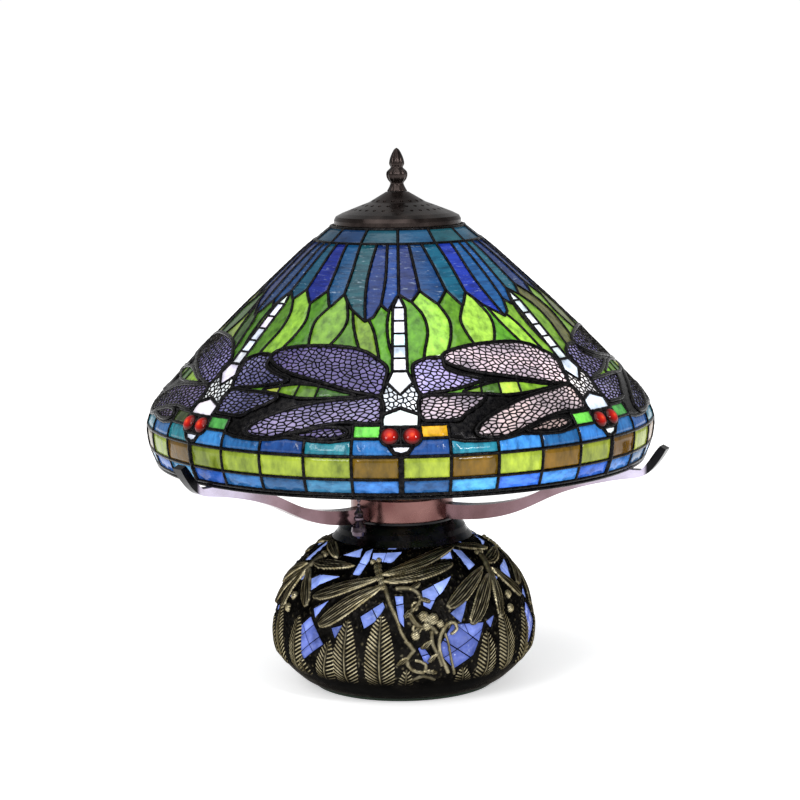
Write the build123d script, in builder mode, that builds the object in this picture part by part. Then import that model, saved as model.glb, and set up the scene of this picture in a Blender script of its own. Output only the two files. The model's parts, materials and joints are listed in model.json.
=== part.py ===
"""A leaded-glass dragonfly table lamp on a lit, cast base.

Millimetres, +Z up, the front faces -Y. The origin is the centre of the foot on the table.
Angles round the lamp are counted from the front (-Y) towards +X.
"""

import os
from math import cos, radians, sin

from build123d import *

os.makedirs("parts", exist_ok=True)

# ---- driving dimensions ------------------------------------------------------------------
LAMP_H = 432  # top of the finial
SHADE_R = 204  # widest point of the glass
GLASS_T = 3.0  # glass thickness
LEAD_W = 3.0  # width of a lead line
BEAD = 1.2  # how far the lead rings stand proud of the glass
SECTORS = 7  # dragonflies round the shade
SECTOR = 360 / SECTORS
TILES = 5 * SECTORS  # tiles in a border row
CROWN_TILES = 2 * SECTORS
FILIGREE_T = 0.8
NET_X, NET_Z = 18, 6.5  # mesh of the filigree
WIRE_R = 1.3  # rim reinforcement
GAP = 0.3  # clearance between pieces that move apart
RUN = 0.05  # running clearance of a thread or a cap on a rod

# Outer outline of the glass, from the top opening down: radius, height.
WALL = [(52, 371.5), (76.5, 352), (122, 310), (160, 273), (190, 241), (199, 229),
        (203.5, 217), (201.5, 200), (196, 187)]
Z_TOP, Z_CROWN, Z_LEAF, Z_FIELD, Z_UPPER, Z_MIDDLE, Z_RIM = 371.5, 360, 325, 229, 217, 200, 187

# The stand.
BASE_WALL = 4
BASE_OUT = [(76, 2), (84, 6), (95, 16), (102, 25), (105, 34), (106, 44), (105.8, 50),
            (103.3, 64), (100, 74), (95.5, 83.6), (88.5, 93.5), (78.5, 104), (66, 113.5),
            (57, 119.5)]
NECK_TOP = 136
COLLAR_R = 41.5
COLLAR_TOP = 168
TUBE_R = 4.9  # threaded lamp tube
ROD_R = 3.0  # rod from the cluster to the finial
SOCKET_Z = 222  # height of the two lamp-holders' axis
SOCKET_R = 17
SOCKET_OUT = 64  # mouth of a lamp-holder, from the lamp's axis
ARM_W = 12
ARMS = {"arm_right": 66, "arm_left": -48, "arm_rear": 186}
CHAIN_X, CHAIN_Y = -34, -51  # the front pull chain; the rear one is turned by 180 degrees
CHAIN_TOP = 208
NIGHT_X = 40  # the small lamp inside the base

FRONT = Plane(origin=(0, 0, 0), x_dir=(0, -1, 0), z_dir=(-1, 0, 0))  # radius, height


def wall_radius(height):
    """Outer radius of the glass at a height."""
    for (r_low, z_low), (r_high, z_high) in zip(WALL[1:], WALL):
        if z_low <= height <= z_high:
            return r_low + (r_high - r_low) * (height - z_low) / (z_high - z_low)
    raise ValueError(height)


def seen(outline):
    """A pattern outline (degrees round the shade, height) as it looks from the front."""
    return [(wall_radius(z) * sin(radians(a)), z) for a, z in outline]


def turned_about(angle):
    """Rotation that carries the +X axis to an angle counted from the front."""
    return (0, 0, angle - 90)


# ---- the pattern of one dragonfly: degrees from its axis, height --------------------------
BODY = [
    [(0, 324), (2.3, 316), (2.0, 274), (-2.0, 274), (-2.3, 316)],
    [(-1.9, 272), (-3.2, 266), (0, 259), (3.2, 266), (1.9, 272)],
    [(-4.2, 245), (0, 249), (4.2, 245), (4.2, 239), (-4.2, 239)],
    [(-2.3, 224), (2.3, 224), (1.4, 219.5), (-1.4, 219.5)],
]
TAIL_JOINTS = (316, 307, 298.5, 290, 282)
WINGS = [
    [(-39.5, 283), (-37, 288), (-31, 290), (-15, 290), (-7, 282), (-3.6, 275), (-4.4, 259),
     (-11, 259), (-22.5, 267), (-32, 272), (-38, 279)],
    [(3.6, 275), (4.1, 280), (8.8, 282), (10.3, 276), (13.6, 270), (21.6, 266), (13, 260),
     (8.6, 257.5), (4.6, 258)],
    [(-5.4, 257), (-15, 255), (-25.5, 249), (-31.5, 241), (-35.5, 234), (-33.3, 230),
     (-27, 229.5), (-20, 233), (-12.5, 240), (-5.4, 245)],
    [(5.4, 254), (10.5, 257), (19.5, 255), (15, 245), (12, 241), (5.4, 243)],
]
EYES = [(-2.35, 231), (2.35, 231)]
EYE_R = 7.2
EYE_SINK = 3

# ---- shade --------------------------------------------------------------------------------
INNER = [(r - GLASS_T * (1.4 if z > Z_FIELD else 1.0), z) for r, z in WALL]

with BuildPart() as wall_sector:
    with BuildSketch(FRONT):
        with BuildLine():
            Polyline(*WALL, *reversed(INNER), close=True)
        make_face()
    revolve(axis=Axis.Z, revolution_arc=SECTOR)

with BuildPart() as wall_front:
    with BuildSketch(Plane.XZ):
        with BuildLine():
            Polyline(*WALL, *reversed(INNER), close=True)
        make_face()
    revolve(axis=Axis.Z, revolution_arc=-180)

with BuildPart() as body_piece:
    with BuildSketch(Plane.XZ):
        for outline in BODY:
            with BuildLine():
                Polyline(*seen(outline), close=True)
            make_face()
        for height in TAIL_JOINTS:
            with Locations((0, height)):
                Rectangle(14, 1.6, mode=Mode.SUBTRACT)
    extrude(amount=SHADE_R)
    add(wall_front.part, mode=Mode.INTERSECT)

with BuildPart() as wing_piece:
    with BuildSketch(Plane.XZ):
        for outline in WINGS:
            with BuildLine():
                Polyline(*seen(outline), close=True)
            make_face()
    extrude(amount=SHADE_R)
    add(wall_front.part, mode=Mode.INTERSECT)

# What one dragonfly takes out of the field glass: its outlines with a lead line round them.
with BuildPart() as dragonfly_cutter:
    with BuildSketch(Plane.XZ):
        for outline in BODY + WINGS:
            with BuildLine():
                Polyline(*seen(outline), close=True)
            make_face()
        offset(amount=LEAD_W / 2, kind=Kind.INTERSECTION)
        for angle, height in EYES:
            with Locations((wall_radius(height) * sin(radians(angle)), height)):
                Circle(EYE_R + 1)
    extrude(amount=SHADE_R + 10)

# Bands of one sector, each cut along its lead lines: top, bottom, columns, crossed by a dragonfly.
BANDS = {
    "crown_glass": (Z_TOP + LEAD_W / 2, Z_CROWN, CROWN_TILES, False),
    "leaf_glass": (Z_CROWN, Z_LEAF, TILES, True),
    "field_glass": (Z_LEAF, Z_FIELD, TILES, True),
    "border_upper_glass": (Z_FIELD, Z_UPPER, TILES, True),
    "border_middle_glass": (Z_UPPER, Z_MIDDLE, TILES, False),
    "border_lower_glass": (Z_MIDDLE, Z_RIM, TILES, False),
}
sector_pieces = {}
for name, (high, low, columns, crossed) in BANDS.items():
    with BuildPart() as band:
        add(wall_sector.part)
        with Locations((0, 0, (high + low) / 2)):
            Box(3 * SHADE_R, 3 * SHADE_R, high - low - LEAD_W, mode=Mode.INTERSECT)
        with PolarLocations(0, columns // SECTORS + 1, start_angle=-90, angular_range=SECTOR,
                            endpoint=True):
            Box(2 * SHADE_R, LEAD_W, 2 * LAMP_H, align=(Align.MIN, Align.CENTER, Align.CENTER),
                mode=Mode.SUBTRACT)
        if crossed:
            add(dragonfly_cutter.part, mode=Mode.SUBTRACT)
            add(dragonfly_cutter.part, rotation=(0, 0, SECTOR), mode=Mode.SUBTRACT)
    sector_pieces[name] = band.part

# The lead net of one sector is what the glass leaves of the wall.
with BuildPart() as lead_sector:
    add(wall_sector.part)
    for piece in sector_pieces.values():
        add(piece, mode=Mode.SUBTRACT)
    for piece in (body_piece.part, wing_piece.part):
        add(piece, mode=Mode.SUBTRACT)
        add(piece, rotation=(0, 0, SECTOR), mode=Mode.SUBTRACT)
    with PolarLocations(0, 1, start_angle=-90):
        Box(2 * SHADE_R, RUN, 2 * LAMP_H, align=(Align.MIN, Align.CENTER, Align.CENTER),
            mode=Mode.SUBTRACT)
sector_pieces["shade_leads"] = lead_sector.part
sector_pieces["dragonfly_body_glass"] = body_piece.part
sector_pieces["dragonfly_wing_glass"] = wing_piece.part

# Etched brass filigree that lies on the wings.
with BuildPart() as filigree_piece:
    with BuildSketch(Plane.XZ):
        with BuildLine():
            Polyline(*WALL, *[(r + FILIGREE_T, z + FILIGREE_T) for r, z in reversed(WALL)],
                     close=True)
        make_face()
    revolve(axis=Axis.Z, revolution_arc=-180)
    with BuildSketch(Plane.XZ) as net:
        for outline in WINGS:
            with BuildLine():
                Polyline(*seen(outline), close=True)
            make_face()
        with Locations((0, Z_LEAF - 60)):
            with GridLocations(NET_X, NET_Z, 15, 11):
                Rectangle(NET_X - 1.2, NET_Z - 1.2, mode=Mode.SUBTRACT)
    extrude(to_extrude=net.sketch, amount=SHADE_R + 10, mode=Mode.INTERSECT)
sector_pieces["wing_filigree"] = filigree_piece.part

# Domed glass eyes, sunk a little into the wall.
with BuildPart() as eye_pair:
    for angle, height in EYES:
        at = radians(angle)
        r = wall_radius(height) - EYE_SINK
        with Locations((r * sin(at), -r * cos(at), height - EYE_SINK / 2)):
            Sphere(EYE_R)
    with BuildPart(mode=Mode.PRIVATE) as inside:
        with BuildSketch(Plane.XZ):
            with BuildLine():
                Polyline((0, Z_TOP), *WALL, (0, Z_RIM), close=True)
            make_face()
        revolve(axis=Axis.Z)
    add(inside.part, mode=Mode.SUBTRACT)
sector_pieces["eye_cabochons"] = eye_pair.part

for name, piece in sector_pieces.items():
    with BuildPart() as whole:
        with PolarLocations(0, SECTORS):
            add(piece)
    whole.part.label = name
    export_step(whole.part, f"parts/{name}.step")

# Raised solder rings on the outside of the shade.
with BuildPart() as lead_rings:
    with BuildSketch(Plane.XZ):
        for height in (Z_CROWN, Z_UPPER, Z_MIDDLE):
            line = [(wall_radius(z), z) for z in (height - 1.5, height, height + 1.5)]
            with BuildLine():
                Polyline(*line, *[(r + BEAD, z) for r, z in reversed(line)], close=True)
            make_face()
    revolve(axis=Axis.Z)
lead_rings.part.label = "lead_rings"
export_step(lead_rings.part, "parts/lead_rings.step")

with BuildPart() as rim_wire:
    with BuildSketch(Plane.XZ):
        with Locations((WALL[-1][0] - 0.5, Z_RIM - WIRE_R)):
            Circle(WIRE_R)
    revolve(axis=Axis.Z)
rim_wire.part.label = "rim_wire"
export_step(rim_wire.part, "parts/rim_wire.step")

# Brass ring soldered into the top opening of the shade.
with BuildPart() as shade_ring:
    with BuildSketch(Plane.XZ):
        with BuildLine():
            Polyline(INNER[0], (INNER[0][0] - 4, Z_TOP), (50, Z_TOP - 5.5),
                     (wall_radius(Z_TOP - 5.5) - GLASS_T * 1.4, Z_TOP - 5.5), close=True)
        make_face()
    revolve(axis=Axis.Z)
shade_ring.part.label = "shade_ring"
export_step(shade_ring.part, "parts/shade_ring.step")

# ---- cap and finial -----------------------------------------------------------------------
CAP_OUT = [(9, 397), (22.5, 389), (33, 385), (44.4, 380.5), (49.2, 378), (50.8, 375),
           (50.8, Z_TOP + GAP)]
CAP_IN = [(4, 395.2), (9, 395.2), (22, 387.2), (32.5, 383.2), (43.8, 378.9), (47.8, 376.8),
          (49, 374.4), (49, Z_TOP + GAP)]
CAP_HOLES = {20: 18, 28: 24, 36: 30}  # radius of each row of air holes: how many

with BuildPart() as heat_cap:
    with BuildSketch(Plane.XZ):
        with BuildLine():
            Polyline((4, 397), *CAP_OUT, *reversed(CAP_IN), close=True)
        make_face()
    revolve(axis=Axis.Z)
    for radius, count in CAP_HOLES.items():
        with PolarLocations(radius, count):
            with Locations((0, 0, 386)):
                Cylinder(1.4, 16, mode=Mode.SUBTRACT)
heat_cap.part.label = "heat_cap"
export_step(heat_cap.part, "parts/heat_cap.step")

FINIAL = [(5.6, 402.5), (5.6, 404.5), (8, 407.5), (8.8, 410.5), (8, 413.5), (5.2, 416),
          (6, 418.5), (6.1, 420.5), (4.6, 425), (2.4, 430), (1.2, 431.5), (0, LAMP_H)]
with BuildPart() as finial:
    with BuildSketch(Plane.XZ):
        with BuildLine():
            Polyline((0, 413), (ROD_R + RUN, 413), (ROD_R + RUN, 397 + GAP), (8, 397 + GAP),
                     *FINIAL, close=True)
        make_face()
    revolve(axis=Axis.Z)
finial.part.label = "finial"
export_step(finial.part, "parts/finial.step")

# ---- base ---------------------------------------------------------------------------------
with BuildPart() as felt_pad:
    Cylinder(74, 2, align=(Align.CENTER, Align.CENTER, Align.MIN))
felt_pad.part.label = "felt_pad"
export_step(felt_pad.part, "parts/felt_pad.step")

PLATE_TOP = 5
with BuildPart() as base_plate:
    with Locations((0, 0, 2)):
        Cylinder(72, PLATE_TOP - 2, align=(Align.CENTER, Align.CENTER, Align.MIN))
    Cylinder(TUBE_R, 30, mode=Mode.SUBTRACT)
base_plate.part.label = "base_plate"
export_step(base_plate.part, "parts/base_plate.step")

BASE_IN = [(r - BASE_WALL, z) for r, z in BASE_OUT]

with BuildPart() as base_blank:
    with BuildSketch(Plane.XZ):
        with BuildLine():
            Polyline(*BASE_OUT, *reversed(BASE_IN), close=True)
        make_face()
    revolve(axis=Axis.Z)

# Windows of the lit mosaic in one third of the base: degrees from the front, height.
WINDOWS = [
    [(-44, 113), (-33, 118), (-31, 113)],
    [(-28, 116), (-24, 118), (-23, 111), (-25, 103), (-29, 103)],
    [(-21, 116), (-2, 117), (-8, 111), (-20, 112)],
    [(-58, 92), (-51, 98), (-38, 99), (-47, 93), (-53, 85)],
    [(-67, 90), (-66, 97), (-62, 93)],
    [(-45, 75), (-38, 82), (-43, 69)],
    [(-19, 74), (-10, 84), (-9, 81), (-12, 72), (-17, 66)],
    [(-54, 54), (-46, 67), (-38, 50), (-49, 36)],
    [(-33, 63), (-28, 66), (-31, 56)],
    [(-4, 88), (0, 88), (0, 68), (-2, 72)],
    [(24, 112), (37, 117), (34, 111)],
    [(40, 116), (46, 114), (47, 105), (41, 103)],
    [(10, 92), (16, 95), (26, 99), (19, 90), (16, 87), (13, 80), (10, 83)],
    [(22, 75), (31, 83), (26, 68)],
    [(22, 65), (36, 63), (30, 42), (22, 34), (15, 48)],
    [(6, 50), (8, 52), (12, 41), (9, 37)],
    [(39, 65), (44, 68), (41, 60)],
    [(51, 71), (52, 86), (55, 75)],
]
THIRDS = 3
CORD_Z = 14


def base_radius(height):
    """Outer radius of the base at a height."""
    for (r_low, z_low), (r_high, z_high) in zip(BASE_OUT, BASE_OUT[1:]):
        if z_low <= height <= z_high:
            return r_low + (r_high - r_low) * (height - z_low) / (z_high - z_low)
    raise ValueError(height)


with BuildPart() as windows:
    for outline in WINDOWS:
        middle = sum(angle for angle, _ in outline) / len(outline)
        at = radians(middle)
        side = Plane(origin=(30 * sin(at), -30 * cos(at), 0), x_dir=(cos(at), sin(at), 0),
                     z_dir=(sin(at), -cos(at), 0))
        with BuildSketch(side):
            with BuildLine():
                Polyline(*[(base_radius(z) * sin(radians(a - middle)), z) for a, z in outline],
                         close=True)
            make_face()
        extrude(amount=100)

with BuildPart() as base_shell:
    add(base_blank.part)
    for third in range(THIRDS):
        add(windows.part, rotation=(0, 0, 360 / THIRDS * third), mode=Mode.SUBTRACT)
    with Locations(Location((0, 90, CORD_Z), (90, 0, 0))):
        Cylinder(5, 40, mode=Mode.SUBTRACT)
base_shell.part.label = "base_shell"
export_step(base_shell.part, "parts/base_shell.step")

with BuildPart() as base_mosaic:
    for third in range(THIRDS):
        add(windows.part, rotation=(0, 0, 360 / THIRDS * third))
    with BuildPart(mode=Mode.PRIVATE) as pane:
        with BuildSketch(Plane.XZ):
            with BuildLine():
                Polyline(*[(r - 0.8, z) for r, z in BASE_OUT], *reversed(BASE_IN), close=True)
            make_face()
        revolve(axis=Axis.Z)
    add(pane.part, mode=Mode.INTERSECT)
base_mosaic.part.label = "base_mosaic"
export_step(base_mosaic.part, "parts/base_mosaic.step")

with BuildPart() as cord_bushing:
    with Locations(Location((0, 91, CORD_Z), (90, 0, 0))):
        Cylinder(5, 18)
        Cylinder(3.6, 18, mode=Mode.SUBTRACT)
cord_bushing.part.label = "cord_bushing"
export_step(cord_bushing.part, "parts/cord_bushing.step")

with BuildPart() as neck_ring:
    with BuildSketch(Plane.XZ):
        with BuildLine():
            Polyline((34, 119.5), (57, 119.5), (53, 124), (51, 128), (46.5, 132.5), (43.5, 134.5),
                     (43.5, NECK_TOP), (34, NECK_TOP), close=True)
        make_face()
    revolve(axis=Axis.Z)
neck_ring.part.label = "neck_ring"
export_step(neck_ring.part, "parts/neck_ring.step")

# ---- collar and arms ----------------------------------------------------------------------
SCREW_R, HEAD_R, SCREW_Z, SCREW_PITCH = 1.6, 2.3, 143.4, 5.0
SCREW_ROW = (SCREW_Z - SCREW_PITCH / 2, SCREW_Z + SCREW_PITCH / 2)
AT_ARMS = [Location((0, 0, 0), (0, 0, angle - 90)) for angle in ARMS.values()]

with BuildPart() as collar:
    with BuildSketch(Plane.XZ):
        with BuildLine():
            Polyline((TUBE_R, NECK_TOP), (COLLAR_R, NECK_TOP), (COLLAR_R, 153),
                     (COLLAR_R + 1.6, 155), (COLLAR_R, 157), (COLLAR_R, COLLAR_TOP - 3),
                     (COLLAR_R + 2, COLLAR_TOP), (COLLAR_R, COLLAR_TOP),
                     (COLLAR_R - 2, COLLAR_TOP - 3), (COLLAR_R - 2, NECK_TOP + 2.5),
                     (TUBE_R, NECK_TOP + 2.5), close=True)
        make_face()
    revolve(axis=Axis.Z)
    with Locations(*AT_ARMS):
        with Locations(*[Location((COLLAR_R, 0, z), (0, 90, 0)) for z in SCREW_ROW]):
            Cylinder(SCREW_R, 12, mode=Mode.SUBTRACT)
collar.part.label = "collar"
export_step(collar.part, "parts/collar.step")

with BuildPart() as collar_cover:
    with Locations((0, 0, COLLAR_TOP - 4.5)):
        Cylinder(COLLAR_R - 2, 1.5, align=(Align.CENTER, Align.CENTER, Align.MIN))
    Cylinder(TUBE_R, 2 * LAMP_H, mode=Mode.SUBTRACT)
collar_cover.part.label = "collar_cover"
export_step(collar_cover.part, "parts/collar_cover.step")

# One arm: a flat bar on edge that sweeps out under the rim and turns up into a horn.
SEAT_Z = Z_RIM - 2 * WIRE_R - GAP
with BuildPart() as arm_blank:
    with BuildSketch(Plane.XZ):
        with BuildLine():
            Spline((38, 136.2), (68, 137.2), (101, 145), (136, 161.5), (173, 173), (191, 176.5),
                   (206, 180), (217, 190), (224.5, 201.5))
            Line((224.5, 201.5), (219.5, 204))
            Spline((219.5, 204), (213.5, 196.5), (208.5, 189.5), (203.5, SEAT_Z))
            Line((203.5, SEAT_Z), (188, SEAT_Z))
            Spline((188, SEAT_Z), (165, 179), (136, 170.5), (110, 158), (85, 151), (38, 148))
            Line((38, 148), (38, 136.2))
        make_face()
    extrude(amount=ARM_W / 2, both=True)
    with BuildSketch(Plane.XY) as plan:
        with BuildLine():
            Polyline((30, -ARM_W / 2), (80, -ARM_W / 2), (190, -ARM_W / 3), (212, -ARM_W / 3),
                     (235, -ARM_W / 2), (235, ARM_W / 2), (212, ARM_W / 3), (190, ARM_W / 3),
                     (80, ARM_W / 2), (30, ARM_W / 2), close=True)
        make_face()
    extrude(to_extrude=plan.sketch, amount=LAMP_H, mode=Mode.INTERSECT)
    Cylinder(COLLAR_R, 2 * LAMP_H, mode=Mode.SUBTRACT)
    with Locations(*[Location((COLLAR_R, 0, z), (0, 90, 0)) for z in SCREW_ROW]):
        Cylinder(SCREW_R, 24, mode=Mode.SUBTRACT)

for name, angle in ARMS.items():
    with BuildPart() as arm:
        add(arm_blank.part, rotation=turned_about(angle))
    arm.part.label = name
    export_step(arm.part, f"parts/{name}.step")

with BuildPart() as arm_screws:
    with Locations(*AT_ARMS):
        with Locations(*[Location((COLLAR_R - 2.2, 0, z), (0, 90, 0)) for z in SCREW_ROW]):
            Cylinder(SCREW_R, 14, align=(Align.CENTER, Align.CENTER, Align.MIN))
    with Locations(*AT_ARMS):
        with Locations(*[Location((COLLAR_R - 2.2, 0, z), (0, -90, 0)) for z in SCREW_ROW]):
            Cylinder(HEAD_R, 2, align=(Align.CENTER, Align.CENTER, Align.MIN))
arm_screws.part.label = "arm_screws"
export_step(arm_screws.part, "parts/arm_screws.step")

# ---- tube, cluster and rod ----------------------------------------------------------------
TUBE_TOP = 214
CLUSTER_R, CLUSTER_LOW, CLUSTER_HIGH = 20, 206, 238

with BuildPart() as riser_tube:
    with Locations((0, 0, 2)):
        Cylinder(TUBE_R, TUBE_TOP - 2, align=(Align.CENTER, Align.CENTER, Align.MIN))
    Cylinder(3.5, 2 * LAMP_H, mode=Mode.SUBTRACT)
riser_tube.part.label = "riser_tube"
export_step(riser_tube.part, "parts/riser_tube.step")

with BuildPart() as riser_nuts:
    for height in (PLATE_TOP, COLLAR_TOP - 3, CLUSTER_LOW - 5):
        with BuildSketch(Plane.XY.offset(height)):
            RegularPolygon(9, 6)
            Circle(TUBE_R, mode=Mode.SUBTRACT)
        extrude(amount=5)
riser_nuts.part.label = "riser_nuts"
export_step(riser_nuts.part, "parts/riser_nuts.step")

with BuildPart() as cluster_body:
    with BuildSketch(Plane.XZ):
        with BuildLine():
            Polyline((0, CLUSTER_LOW), (14, CLUSTER_LOW), (CLUSTER_R, CLUSTER_LOW + 5),
                     (CLUSTER_R, CLUSTER_HIGH - 5), (14, CLUSTER_HIGH), (0, CLUSTER_HIGH), close=True)
        make_face()
    revolve(axis=Axis.Z)
    with Locations((0, 0, TUBE_TOP)):
        Cylinder(TUBE_R, 40, align=(Align.CENTER, Align.CENTER, Align.MAX), mode=Mode.SUBTRACT)
    with Locations((0, 0, CLUSTER_HIGH - 8)):
        Cylinder(ROD_R, 40, align=(Align.CENTER, Align.CENTER, Align.MIN), mode=Mode.SUBTRACT)
    with Locations(Location((0, 0, SOCKET_Z), (90, 0, 0))):
        Cylinder(TUBE_R, 60, mode=Mode.SUBTRACT)
cluster_body.part.label = "cluster_body"
export_step(cluster_body.part, "parts/cluster_body.step")

with BuildPart() as socket_nipples:
    for side in (90, -90):
        with Locations(Location((0, 0, SOCKET_Z), (side, 0, 0))):
            with Locations((0, 0, 8)):
                Cylinder(TUBE_R, 17, align=(Align.CENTER, Align.CENTER, Align.MIN))
                Cylinder(3.5, 17, align=(Align.CENTER, Align.CENTER, Align.MIN), mode=Mode.SUBTRACT)
socket_nipples.part.label = "socket_nipples"
export_step(socket_nipples.part, "parts/socket_nipples.step")

with BuildPart() as upper_rod:
    with Locations((0, 0, CLUSTER_HIGH - 8)):
        Cylinder(ROD_R, 411 - CLUSTER_HIGH + 8, align=(Align.CENTER, Align.CENTER, Align.MIN))
upper_rod.part.label = "upper_rod"
export_step(upper_rod.part, "parts/upper_rod.step")

with BuildPart() as rod_nut:
    with BuildSketch(Plane.XY.offset(CLUSTER_HIGH)):
        RegularPolygon(6.5, 6)
        Circle(ROD_R, mode=Mode.SUBTRACT)
    extrude(amount=5)
rod_nut.part.label = "rod_nut"
export_step(rod_nut.part, "parts/rod_nut.step")

# ---- lamp-holders, switches, pulls and lamps, built at the front and turned for the rear ----
SOCKET_AXIS = Axis((0, 0, SOCKET_Z), (0, -1, 0))
CAP_R = 13.0  # E26 screw cap
CHAIN_R, BALL_R, BALL_PITCH = 0.6, 1.6, 4.2


def along(outline):
    """Lamp-holder outline (distance from the lamp's axis, radius) set on the holder's axis."""
    return [(out, SOCKET_Z + r) for out, r in outline]


SHELL = [(21, TUBE_R), (21, 10), (28, SOCKET_R), (SOCKET_OUT, SOCKET_R),
         (SOCKET_OUT, 15.5), (29, 15.5), (23, 9), (23, TUBE_R)]
CORE = [(31, 0), (31, 15.5), (63.5, 15.5), (63.5, CAP_R + RUN), (34, CAP_R + RUN), (34, 0)]
CAP = [(34.5, 0), (34.5, 5), (38, CAP_R), (61.5, CAP_R), (61.5, 0)]
GLASS = [(62, 12.6), (72, 14.5), (85, 22), (99, 28.5), (113, 30), (127, 27), (137, 18), (142, 6)]
GLASS_WALL = 1.2

turned_pieces = {"socket_shell": SHELL, "socket_core": CORE, "bulb_cap": CAP}
with BuildPart() as bulb_glass:
    with BuildSketch(FRONT):
        with BuildLine():
            Line((61.5, SOCKET_Z), along([(61.5, 12.6)])[0])
            Line(along([(61.5, 12.6)])[0], along(GLASS)[0])
            Spline(*along(GLASS), (143, SOCKET_Z))
            Line((143, SOCKET_Z), (61.5, SOCKET_Z))
        make_face()
        with BuildLine():
            Line((62.7, SOCKET_Z), (62.7, SOCKET_Z + 11.4))
            Spline((62.7, SOCKET_Z + 11.4), *along([(x, r - GLASS_WALL) for x, r in GLASS[1:-1]]),
                   (141.5, SOCKET_Z))
            Line((141.5, SOCKET_Z), (62.7, SOCKET_Z))
        make_face(mode=Mode.SUBTRACT)
    revolve(axis=SOCKET_AXIS)
front_pieces = {"bulb_glass": bulb_glass.part}
for name, outline in turned_pieces.items():
    with BuildPart() as turned:
        with BuildSketch(FRONT):
            with BuildLine():
                Polyline(*along(outline), close=True)
            make_face()
        revolve(axis=SOCKET_AXIS)
    front_pieces[name] = turned.part

with BuildPart() as switch_housing:
    with Locations(Location((CHAIN_X - 4, CHAIN_Y, SOCKET_Z), (0, 90, 0))):
        Cylinder(6, 24, align=(Align.CENTER, Align.CENTER, Align.MIN))
    with Locations((CHAIN_X, CHAIN_Y, SOCKET_Z)):
        Cylinder(4, 12, align=(Align.CENTER, Align.CENTER, Align.MAX))
    with Locations(Location((0, CHAIN_Y, SOCKET_Z), (90, 0, 0))):
        Cylinder(SOCKET_R, 60, mode=Mode.SUBTRACT)
    with Locations((CHAIN_X, CHAIN_Y, SOCKET_Z - 2)):
        Cylinder(2.4, 20, align=(Align.CENTER, Align.CENTER, Align.MAX), mode=Mode.SUBTRACT)
front_pieces["switch_housing"] = switch_housing.part

PULL = [(0, 126.5), (3, 127), (5.4, 129.3), (6.3, 132.5), (5.7, 136), (3.6, 139), (2.6, 140.5),
        (4.2, 142), (4.2, 143.5), (3, 144.5), (3.8, 146), (3.6, 147.5), (2.4, 149), (1.6, 151),
        (0, 151)]
with BuildPart() as pull_drop:
    with BuildSketch(Plane(origin=(CHAIN_X, CHAIN_Y, 0), x_dir=(1, 0, 0), z_dir=(0, -1, 0))):
        with BuildLine():
            Polyline(*PULL, close=True)
        make_face()
    revolve(axis=Axis((CHAIN_X, CHAIN_Y, 0), (0, 0, 1)))
front_pieces["pull_drop"] = pull_drop.part

with BuildPart() as pull_chain:
    low = PULL[-1][1]
    with Locations((CHAIN_X, CHAIN_Y, low)):
        Cylinder(CHAIN_R, CHAIN_TOP + 6 - low, align=(Align.CENTER, Align.CENTER, Align.MIN))
    with Locations(*[(CHAIN_X, CHAIN_Y, low + BALL_PITCH * (k + 0.5)) for k in range(14)]):
        Sphere(BALL_R)
front_pieces["pull_chain"] = pull_chain.part

for name, piece in front_pieces.items():
    for place, turn in {"front": 0, "rear": 180}.items():
        with BuildPart() as placed:
            add(piece, rotation=(0, 0, turn))
        placed.part.label = f"{name}_{place}"
        export_step(placed.part, f"parts/{name}_{place}.step")

# ---- small lamp inside the base -----------------------------------------------------------
NIGHT_CAP_R = 6.0  # E12 screw cap
with BuildPart() as night_bracket:
    with Locations((NIGHT_X, 0, PLATE_TOP)):
        Box(26, 18, 2, align=(Align.CENTER, Align.CENTER, Align.MIN))
night_bracket.part.label = "night_bracket"
export_step(night_bracket.part, "parts/night_bracket.step")

with BuildPart() as night_socket:
    with Locations((NIGHT_X, 0, PLATE_TOP + 2)):
        Cylinder(9.5, 27, align=(Align.CENTER, Align.CENTER, Align.MIN))
    with Locations((NIGHT_X, 0, PLATE_TOP + 8)):
        Cylinder(NIGHT_CAP_R + RUN, 40, align=(Align.CENTER, Align.CENTER, Align.MIN),
                 mode=Mode.SUBTRACT)
night_socket.part.label = "night_socket"
export_step(night_socket.part, "parts/night_socket.step")

with BuildPart() as night_bulb_cap:
    with Locations((NIGHT_X, 0, PLATE_TOP + 8 + GAP)):
        Cylinder(NIGHT_CAP_R, 22, align=(Align.CENTER, Align.CENTER, Align.MIN))
night_bulb_cap.part.label = "night_bulb_cap"
export_step(night_bulb_cap.part, "parts/night_bulb_cap.step")

NIGHT_LOW = PLATE_TOP + 30 + GAP
with BuildPart() as night_bulb_glass:
    with BuildSketch(Plane(origin=(NIGHT_X, 0, NIGHT_LOW), x_dir=(1, 0, 0), z_dir=(0, -1, 0))):
        with BuildLine():
            Line((0, 0), (5.5, 0))
            Spline((5.5, 0), (9, 6), (11, 15), (9, 26), (4, 37), (0, 43))
            Line((0, 43), (0, 0))
        make_face()
    revolve(axis=Axis((NIGHT_X, 0, 0), (0, 0, 1)))
night_bulb_glass.part.label = "night_bulb_glass"
export_step(night_bulb_glass.part, "parts/night_bulb_glass.step")
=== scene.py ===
"""A leaded dragonfly lamp: the glass, lead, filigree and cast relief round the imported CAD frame."""
import json
from math import cos, hypot, pi, radians, sin

import bpy
import numpy as np
from mathutils import Euler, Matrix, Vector
from mathutils.geometry import delaunay_2d_cdt


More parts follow.
